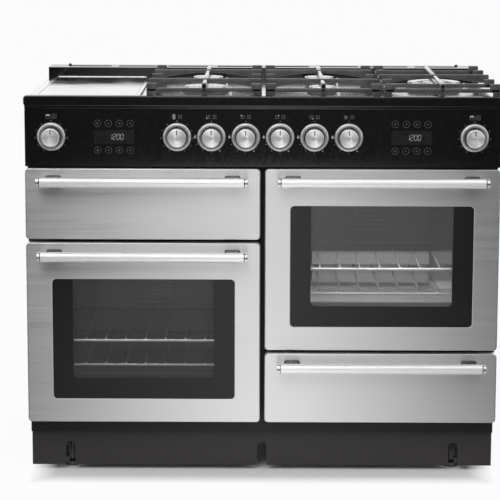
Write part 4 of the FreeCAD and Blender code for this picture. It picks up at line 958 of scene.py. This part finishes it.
def loft(path, half, corner, axes, edge):
    """Rounded rectangles of changing half sizes set along a path, closed at each end over a rounded edge."""
    path, half, axes = (np.asarray(item, float) for item in (path, half, axes))
    bend = quarter(edge, 4)
    close = half[[0, -1]].min(axis=1)
    inset = np.concatenate([[close[0]], bend[::-1, 0], np.zeros(len(path) - 2), bend[:, 0], [close[1]]])
    start = path[0] - bend[::-1, 1][:, None] * axes[2]
    end = path[-1] + bend[:, 1][:, None] * axes[2]
    spots = np.concatenate([path[:1], start, path[1:-1], end, path[-1:]])
    sizes = np.concatenate([half[:1], np.repeat(half[:1], len(bend), 0), half[1:-1],
                            np.repeat(half[-1:], len(bend), 0), half[-1:]])
    flat = ring_points(sizes[:, None], corner, inset, 4)
    points = spots[:, None] + flat @ axes[:2]
    return points.reshape(-1, 3), grid_quads(len(spots), flat.shape[1])


BAR = 11 * MM
BLOCK = 24 * MM
BLOCK_HEIGHT = 20 * MM
BLOCK_CORNER = 3 * MM
RAIL_DROP = 11 * MM
SLIM = 9 * MM
CAST_EDGE = 2.4 * MM
GRATE_FOOT = 16 * MM
FINGER_HALF = 5 * MM
FINGER_DEEP = 13 * MM
FINGER_FALL = 6 * MM
FALL_START, FALL_END = 34 * MM, 12 * MM
ROWS = 5
SUPPORTS = {"pan_support_left": (1, 3), "pan_support_centre": (1, 3), "pan_support_right": (2,)}


def row_places(node):
    """Where a support's rows lie from front to back: one at each end, the rest evenly between."""
    low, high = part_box(node)
    return np.linspace(low.y + BAR / 2, high.y - BAR / 2, ROWS)


def arched_bar(low, high, y):
    """A cross bar: level on top, its underside an arc that springs from a deep block at each end."""
    half = (high.x - low.x) / 2
    span = half - BLOCK
    rise = BLOCK_HEIGHT - SLIM
    radius = (span ** 2 + rise ** 2) / (2 * rise)
    arc = np.linspace(-span, span, 27)
    x = np.concatenate([[-half], arc, [half]])
    curve = SLIM + radius - np.sqrt(radius ** 2 - arc ** 2)
    under = np.concatenate([[BLOCK_HEIGHT], curve, [BLOCK_HEIGHT]])
    path = np.stack([(low.x + high.x) / 2 + x, np.full(len(x), y), high.z - under / 2], axis=-1)
    size = np.stack([np.full(len(x), BAR / 2), under / 2], axis=-1)
    return loft(path, size, CAST_EDGE, ALONG_X, CAST_EDGE)


def finger(x, start, end, top, fall):
    """A bar from front to back whose top runs level and falls over its last stretch, before a cross bar."""
    y = np.array([start, end - FALL_START, end - FALL_END, end])
    drop = np.array([0, 0, fall, fall])
    deep = (FINGER_DEEP - drop) / 2
    path = np.stack([np.full(4, x), y, top - drop - deep], axis=-1)
    size = np.stack([np.full(4, FINGER_HALF), deep], axis=-1)
    return loft(path, size, CAST_EDGE, ALONG_Y, CAST_EDGE)


def cast_block(low, high, axes=XY_UP, corner=CAST_EDGE):
    """A block of a casting, with the casting's rounded edge."""
    return soft_block(low, high, CAST_EDGE, axes, corner)


def pan_support(node, arched):
    """A cast grate on feet: end blocks in rows on side rails, arches over the burners, low bars elsewhere."""
    low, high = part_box(node)
    top = high.z
    rail_top, rail_low = top - RAIL_DROP, top - BLOCK_HEIGHT
    centre_x = (low.x + high.x) / 2
    rows = row_places(node)
    parts = []
    for row, y in enumerate(rows):
        if row in arched:
            parts.append(arched_bar(low, high, y))
            continue
        front, back = y - BAR / 2, y + BAR / 2
        parts.append(cast_block((low.x + MM, front, rail_low), (high.x - MM, back, rail_top), ALONG_X))
        for x in (low.x, high.x - BLOCK):
            parts.append(cast_block((x, front, rail_low), (x + BLOCK, back, top), corner=BLOCK_CORNER))
    for x in (low.x, high.x - BAR):
        parts.append(cast_block((x, low.y, rail_low), (x + BAR, high.y, rail_top), ALONG_Y))
    for y in (low.y, high.y - BAR):
        parts.append(cast_block((centre_x - BAR / 2, y, low.z), (centre_x + BAR / 2, y + BAR, top)))
    for x in (low.x, high.x - GRATE_FOOT):
        for y in (low.y, high.y - GRATE_FOOT):
            parts.append(cast_block((x, y, low.z), (x + GRATE_FOOT, y + GRATE_FOOT, rail_top)))
    stops = [low.y] + [rows[row] for row in arched] + [high.y]
    fingers = [finger(centre_x, start, end, top, 0 if end == high.y else FINGER_FALL)
               for start, end in zip(stops, stops[1:])]
    piece(f"{node}_casting", parts, "cooker", LOOKS["cast_iron"], [node], crease=50)
    piece(f"{node}_fingers", fingers, "cooker", LOOKS["worn_iron"], crease=50)


BURNER_RADII = (50, 37, 31, 36, 64)
WOK_RADIUS = 64
WOK_EYE = 42
WOK_CORE = 27
PORT_PITCH = 11
CROWN_TOP = 13
UPWARD = (0, 0, 1)


def burner_places():
    """The middle and radius in mm of each burner: under the arches of its support."""
    spots = [(middle(node)[0], row_places(node)[row]) for node, arched in SUPPORTS.items() for row in arched]
    return [(*spot, radius) for spot, radius in zip(spots, BURNER_RADII)]


def burner_crown(x, y, r):
    """A burner head of radius r in mm: a flared base and a crown whose wall dips at each flame port."""
    profile = np.array([
        (0, 0), (r + 4, 0), (r + 4, 2.4), (r + 3, 4), (r + 0.5, 5), (r - 3.6, 6), (r - 4, 7.5), (r - 4, 11),
        (r - 4, CROWN_TOP), (r - 9, CROWN_TOP), (0, CROWN_TOP)]) * MM
    ports = int(round(2 * np.pi * r / PORT_PITCH))
    dips = np.array([0, 0, 0, 0, 0, 0, 0.5, 4.5, 4.5, 0, 0]) * MM
    return fluted(profile, (x, y, HOB_Z), UPWARD, ports, dips, ports * 8)


def burner_cap(x, y, r, eye=0):
    """A cap with a rolled edge and a slightly crowned top, with a round eye where the burner has a core."""
    rows = [(eye, CROWN_TOP), (r - 1.2, CROWN_TOP), (r - 0.2, 13.6), (r, 14.4), (r - 0.3, 15.6),
            (r - 1.4, 16.6), (r - 4, 17)]
    if eye:
        rows += [(eye + 3, 17), (eye + 0.6, 16.2), (eye, 15), (eye, CROWN_TOP)]
    else:
        rows += [(r * 0.5, 16.9), (0, 16.9)]
    return turned(np.array(rows) * MM, (x, y, HOB_Z), UPWARD, 72)


def burners():
    """The heads and caps of all burners; the largest has a ring for a cap, and a small cap on its core."""
    crowns, caps = [], []
    for x, y, radius in burner_places():
        crowns.append(burner_crown(x, y, radius))
        wok = radius == WOK_RADIUS
        caps.append(burner_cap(x, y, radius, WOK_EYE if wok else 0))
        if wok:
            caps.append(burner_cap(x, y, WOK_CORE))
    piece("burner_crowns", crowns, "cooker", LOOKS["burner_alloy"], ["burner_heads"],
          crease=50)
    piece("burner_lids", caps, "cooker", LOOKS["cap_steel"], ["burner_caps"], crease=50)


front_trim()
warming_top()
for node, arched in SUPPORTS.items():
    pan_support(node, arched)
burners()


# Screws, studs and the gas inlet.

STUD = np.array([(0, -0.5), (4.2, -0.5), (4.2, 1.2), (3.6, 2.6), (2.2, 3.5), (0, 3.8)]) * MM
STUD_X = np.array([-511, -288, 49]) * MM
RISER_STUD_X = 500 * MM
STUD_FRONT, STUD_BACK = 8 * MM, 9 * MM
SCREW_HEAD = np.array([
    (0, -0.5), (3.6, -0.5), (3.6, 0.8), (3.2, 1.7), (2.2, 2.3), (1.6, 2.4), (1.4, 1.5), (0, 1.5)]) * MM
POST_SCREW_Z = np.array([221, 389, 435, 482, 649]) * MM
CORNER_SCREW = (527 * MM, 113 * MM)
BACK_INSET = 12 * MM


def heads(name, profile, spots, axis, look):
    """Round heads of one kind: a profile turned about an axis and set at each spot."""
    piece(name, [copies(turned(profile, (0, 0, 0), axis, 20), spots)], "cooker", LOOKS[look])


def hob_studs():
    """Small dark domed screws: along the hob's front edge and at the back of the riser."""
    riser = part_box("flue_riser")[1]
    front = [(x, HOB_FRONT + STUD_FRONT, HOB_Z) for x in STUD_X]
    back = [(x, riser.y - STUD_BACK, riser.z) for x in (-RISER_STUD_X, RISER_STUD_X)]
    heads("hob_studs", STUD, front + back, UPWARD, "black_plastic")


def frame_screws():
    """Along the middle post, and at the lower corners of the front frame."""
    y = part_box("front_frame")[0].y
    x, z = CORNER_SCREW
    spots = [(0, y, height) for height in POST_SCREW_Z] + [(-x, y, z), (x, y, z)]
    heads("frame_screws", SCREW_HEAD, spots, OUTWARD, "black_plastic")


def back_screws():
    """Round the edge of the back panel: evenly spaced up both sides and along the top and the bottom."""
    low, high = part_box("back_panel")
    edge_x = (low.x + BACK_INSET, high.x - BACK_INSET)
    edge_z = (low.z + BACK_INSET, high.z - BACK_INSET)
    sides = [(x, high.y, z) for x in edge_x for z in np.linspace(*edge_z, 5)]
    ends = [(x, high.y, z) for x in np.linspace(*edge_x, 6)[1:-1] for z in edge_z]
    heads("back_screws", SCREW_HEAD, sides + ends, (0, 1, 0), "zinc_sheet")


PIPE_CREST = 10.48 * MM
PIPE_BORE = 7 * MM
THREAD_PITCH = 1.814 * MM
THREAD_DEPTH = 1.16 * MM
THREAD_ROWS, THREAD_TURNS = 90, 48
COLLAR_TOP = 5 * MM


def threaded_inlet():
    """A pipe nipple on a round collar. Its outside is a thread: at height h and turn a of a full turn, the
    radius is the crest less the depth times a triangle wave of h / pitch - a, which fades out at the ends."""
    low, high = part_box("gas_inlet")
    centre = ((low.x + high.x) / 2, low.y, (low.z + high.z) / 2)
    length, collar = high.y - low.y, (high.x - low.x) / 2
    turn = np.arange(THREAD_TURNS) / THREAD_TURNS
    height = np.linspace(COLLAR_TOP, length, THREAD_ROWS)
    wave = np.abs(2 * ((height[:, None] / THREAD_PITCH - turn) % 1) - 1)
    fade = np.clip(np.minimum(height - COLLAR_TOP, length - height) / (0.5 * THREAD_PITCH), 0, 1)
    outer = PIPE_CREST - THREAD_DEPTH * wave * fade[:, None]
    plain = np.array([(PIPE_BORE, length), (PIPE_BORE, 0), (collar - MM, 0), (collar, MM),
                      (collar, COLLAR_TOP - MM), (collar - MM, COLLAR_TOP)])
    radius = np.concatenate([np.repeat(plain[:, :1], THREAD_TURNS, axis=1), outer,
                             np.full((1, THREAD_TURNS), PIPE_BORE)])
    level = np.concatenate([plain[:, 1], height, [length]])
    nipple = round_rows(radius, level, centre, (0, 1, 0))
    piece("threaded_inlet", [nipple], "cooker", LOOKS["machined_brass"], ["gas_inlet"],
          crease=50)


hob_studs()
frame_screws()
back_screws()
threaded_inlet()


# Studio: camera, light, floor and background.

CAMERA_DISTANCE = 4.3
CAMERA_HEIGHT = 1.3644
CAMERA_PITCH = 0.1482
CAMERA_ROLL = 0.0035
CAMERA_LENS = 135.71
CAMERA_SHIFT = (-0.0256, -0.15)
OVEN_WATTS = {"left": 0.8, "right": 2.6}
GLOW_SIZE = (0.34, 0.14)
# Each a y, and a drop below the top of the oven.
GLOW_PLACE, GLOW_AIM = (-0.19, 0.1), (0.15, 0.32)
FLOOR_REACH = 30.0
FLOOR_WHITE = 0.93
UNDER_EDGE = 0.06
ROOM_LIGHT = 0.55
STEEL_EDGE = 0.02
STEEL_START, STEEL_END = 0.05, 0.78
SCREEN_Y = -2.4
SCREEN_HALF, SCREEN_TOP = 4.0, 3.0
BAND_LOW = (0.41, 0.45)
BAND_HIGH = (0.74, 0.84)
BAND_LEVEL = 0.05


def set_camera():
    """A long lens in front of the cooker and a little above it, pitched down."""
    data = bpy.data.cameras.new("camera")
    data.lens = CAMERA_LENS
    data.sensor_width = 36
    data.shift_x, data.shift_y = CAMERA_SHIFT
    data.clip_end = 100
    camera = bpy.data.objects.new("camera", data)
    camera.location = (0, FACE_Y - CAMERA_DISTANCE, CAMERA_HEIGHT)
    aim = Euler((math.pi / 2 - CAMERA_PITCH, 0, 0)).to_matrix()
    roll = Euler((0, 0, CAMERA_ROLL)).to_matrix()
    camera.rotation_euler = (aim @ roll).to_euler()
    bpy.context.scene.collection.objects.link(camera)
    bpy.context.scene.camera = camera


def soft_lamp(name, location, aim, size, watts):
    """An even rectangular lamp at a place, facing another."""
    data = bpy.data.lights.new(name, "AREA")
    data.shape = "RECTANGLE"
    data.size, data.size_y = size
    data.energy = watts
    lamp = bpy.data.objects.new(name, data)
    lamp.location = location
    lamp.rotation_euler = (Vector(aim) - Vector(location)).to_track_quat("-Z", "Y").to_euler()
    bpy.context.scene.collection.objects.link(lamp)
    return lamp


def graded(tree):
    """A level that falls from 1 with the distance left or right of the middle."""
    away = calc(tree, "ABSOLUTE", place_parts(tree)["X"])
    return between(tree, away, 1.0, STEEL_EDGE, STEEL_START, STEEL_END)


def footprint_mask(tree):
    """1 on open floor, 0 under the cooker, with a soft edge: the larger of the overshoots in x and y."""
    low, high = cad_box
    spot = place_parts(tree)
    past = [overshoot(tree, spot[axis], (low[axis] + high[axis]) / 2, (high[axis] - low[axis]) / 2)
            for axis in (0, 1)]
    return between(tree, calc(tree, "MAXIMUM", *past), 0, 1, -UNDER_EDGE, 0.0)


def flat_stage(name, corners, look):
    """A stage piece of one face."""
    mesh = bpy.data.meshes.new(name)
    mesh.from_pydata(corners, [], [(0, 1, 2, 3)])
    mesh.materials.append(look)
    thing = bpy.data.objects.new(name, mesh)
    bpy.context.scene.collection.objects.link(thing)
    return thing


def studio_floor():
    """A plain white floor. It shows white where nothing shades it and keeps the object's shadow; metal sees
    it grade to grey at the sides, as a floor lit from the middle."""
    look, tree, shader = fresh("studio_floor", Roughness=0.7, Specular_IOR_Level=0.1)
    tone = between(tree, noise(tree, 2.0), 0, 1)
    put(tree, shader, "Base Color", shade(tree, tone, 0.88, 0.9))
    path = add(tree, "LightPath").outputs
    level = add(tree, "Mix", Factor=path["Is Glossy Ray"], A=1.0, B=graded(tree))
    seen = calc(tree, "MAXIMUM", path["Is Camera Ray"], path["Is Glossy Ray"])
    clear = calc(tree, "MULTIPLY", calc(tree, "MULTIPLY", seen, FLOOR_WHITE), footprint_mask(tree))
    mix = add(tree, "MixShader", Fac=clear)
    put(tree, mix, 1, shader)
    put(tree, mix, 2, add(tree, "Emission", Strength=level))
    output = next(item for item in tree.nodes if item.type == "OUTPUT_MATERIAL")
    put(tree, output, "Surface", mix)
    far = FLOOR_REACH
    flat_stage("studio_floor", [(-far, -far, 0), (far, -far, 0), (far, far, 0), (-far, far, 0)], look)


def white_room():
    """An even white world: full white to the eye, to metal and to glass, softer as light on the object."""
    world = bpy.data.worlds.new("white_room")
    bpy.context.scene.world = world
    world.use_nodes = True
    tree = world.node_tree
    tree.nodes.clear()
    path = add(tree, "LightPath").outputs
    seen = calc(tree, "MAXIMUM", path["Is Camera Ray"], path["Is Transmission Ray"])
    shown = calc(tree, "MAXIMUM", seen, path["Is Glossy Ray"])
    sky = add(tree, "Background", Strength=between(tree, shown, ROOM_LIGHT, 1.0, 0, 1), Color=(1, 1, 1, 1))
    add(tree, "OutputWorld", Surface=sky)


def dark_band(tree):
    """A level by height on the screen: dark across the heights that the upright black panel mirrors."""
    height = place_parts(tree)["Z"]
    under = between(tree, height, 1, BAND_LEVEL, *BAND_LOW)
    over = between(tree, height, BAND_LEVEL, 1, *BAND_HIGH)
    return calc(tree, "MAXIMUM", under, over)


def front_screen():
    """A pale screen in front that only reflections see: bright in the middle, darker to the sides."""
    look, tree, shader = fresh("front_screen", Roughness=0.9, Emission_Color=(1, 1, 1, 1))
    put(tree, shader, "Base Color", shade(tree, between(tree, noise(tree, 3.0), 0, 1), 0, 0.01))
    put(tree, shader, "Emission Strength", calc(tree, "MULTIPLY", graded(tree), dark_band(tree)))
    wide, y, top = SCREEN_HALF, SCREEN_Y, SCREEN_TOP
    screen = flat_stage("front_screen", [(-wide, y, 0), (wide, y, 0), (wide, y, top), (-wide, y, top)], look)
    screen.visible_camera = False
    screen.visible_diffuse = False
    screen.visible_transmission = False
    screen.visible_shadow = False


def oven_glow(side, watts):
    """A faint lamp inside an oven, which shows its shelves through the pane."""
    x = middle(f"door_skin_{side}")[0]
    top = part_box(f"oven_liner_{side}")[1].z
    place, aim = ((x, y, top - drop) for y, drop in (GLOW_PLACE, GLOW_AIM))
    lamp = soft_lamp(f"oven_glow_{side}", place, aim, GLOW_SIZE, watts)
    lamp.visible_glossy = False


scene = bpy.context.scene
scene.view_settings.view_transform = "Standard"
set_camera()
studio_floor()
white_room()
soft_lamp("key", (-1.2, -3.2, 3.2), (0, 0, 0.6), (2.4, 1.8), 60)
soft_lamp("fill", (1.8, -3.0, 2.4), (0, 0, 0.5), (2.0, 2.0), 30)
for side, watts in OVEN_WATTS.items():
    oven_glow(side, watts)
front_screen()
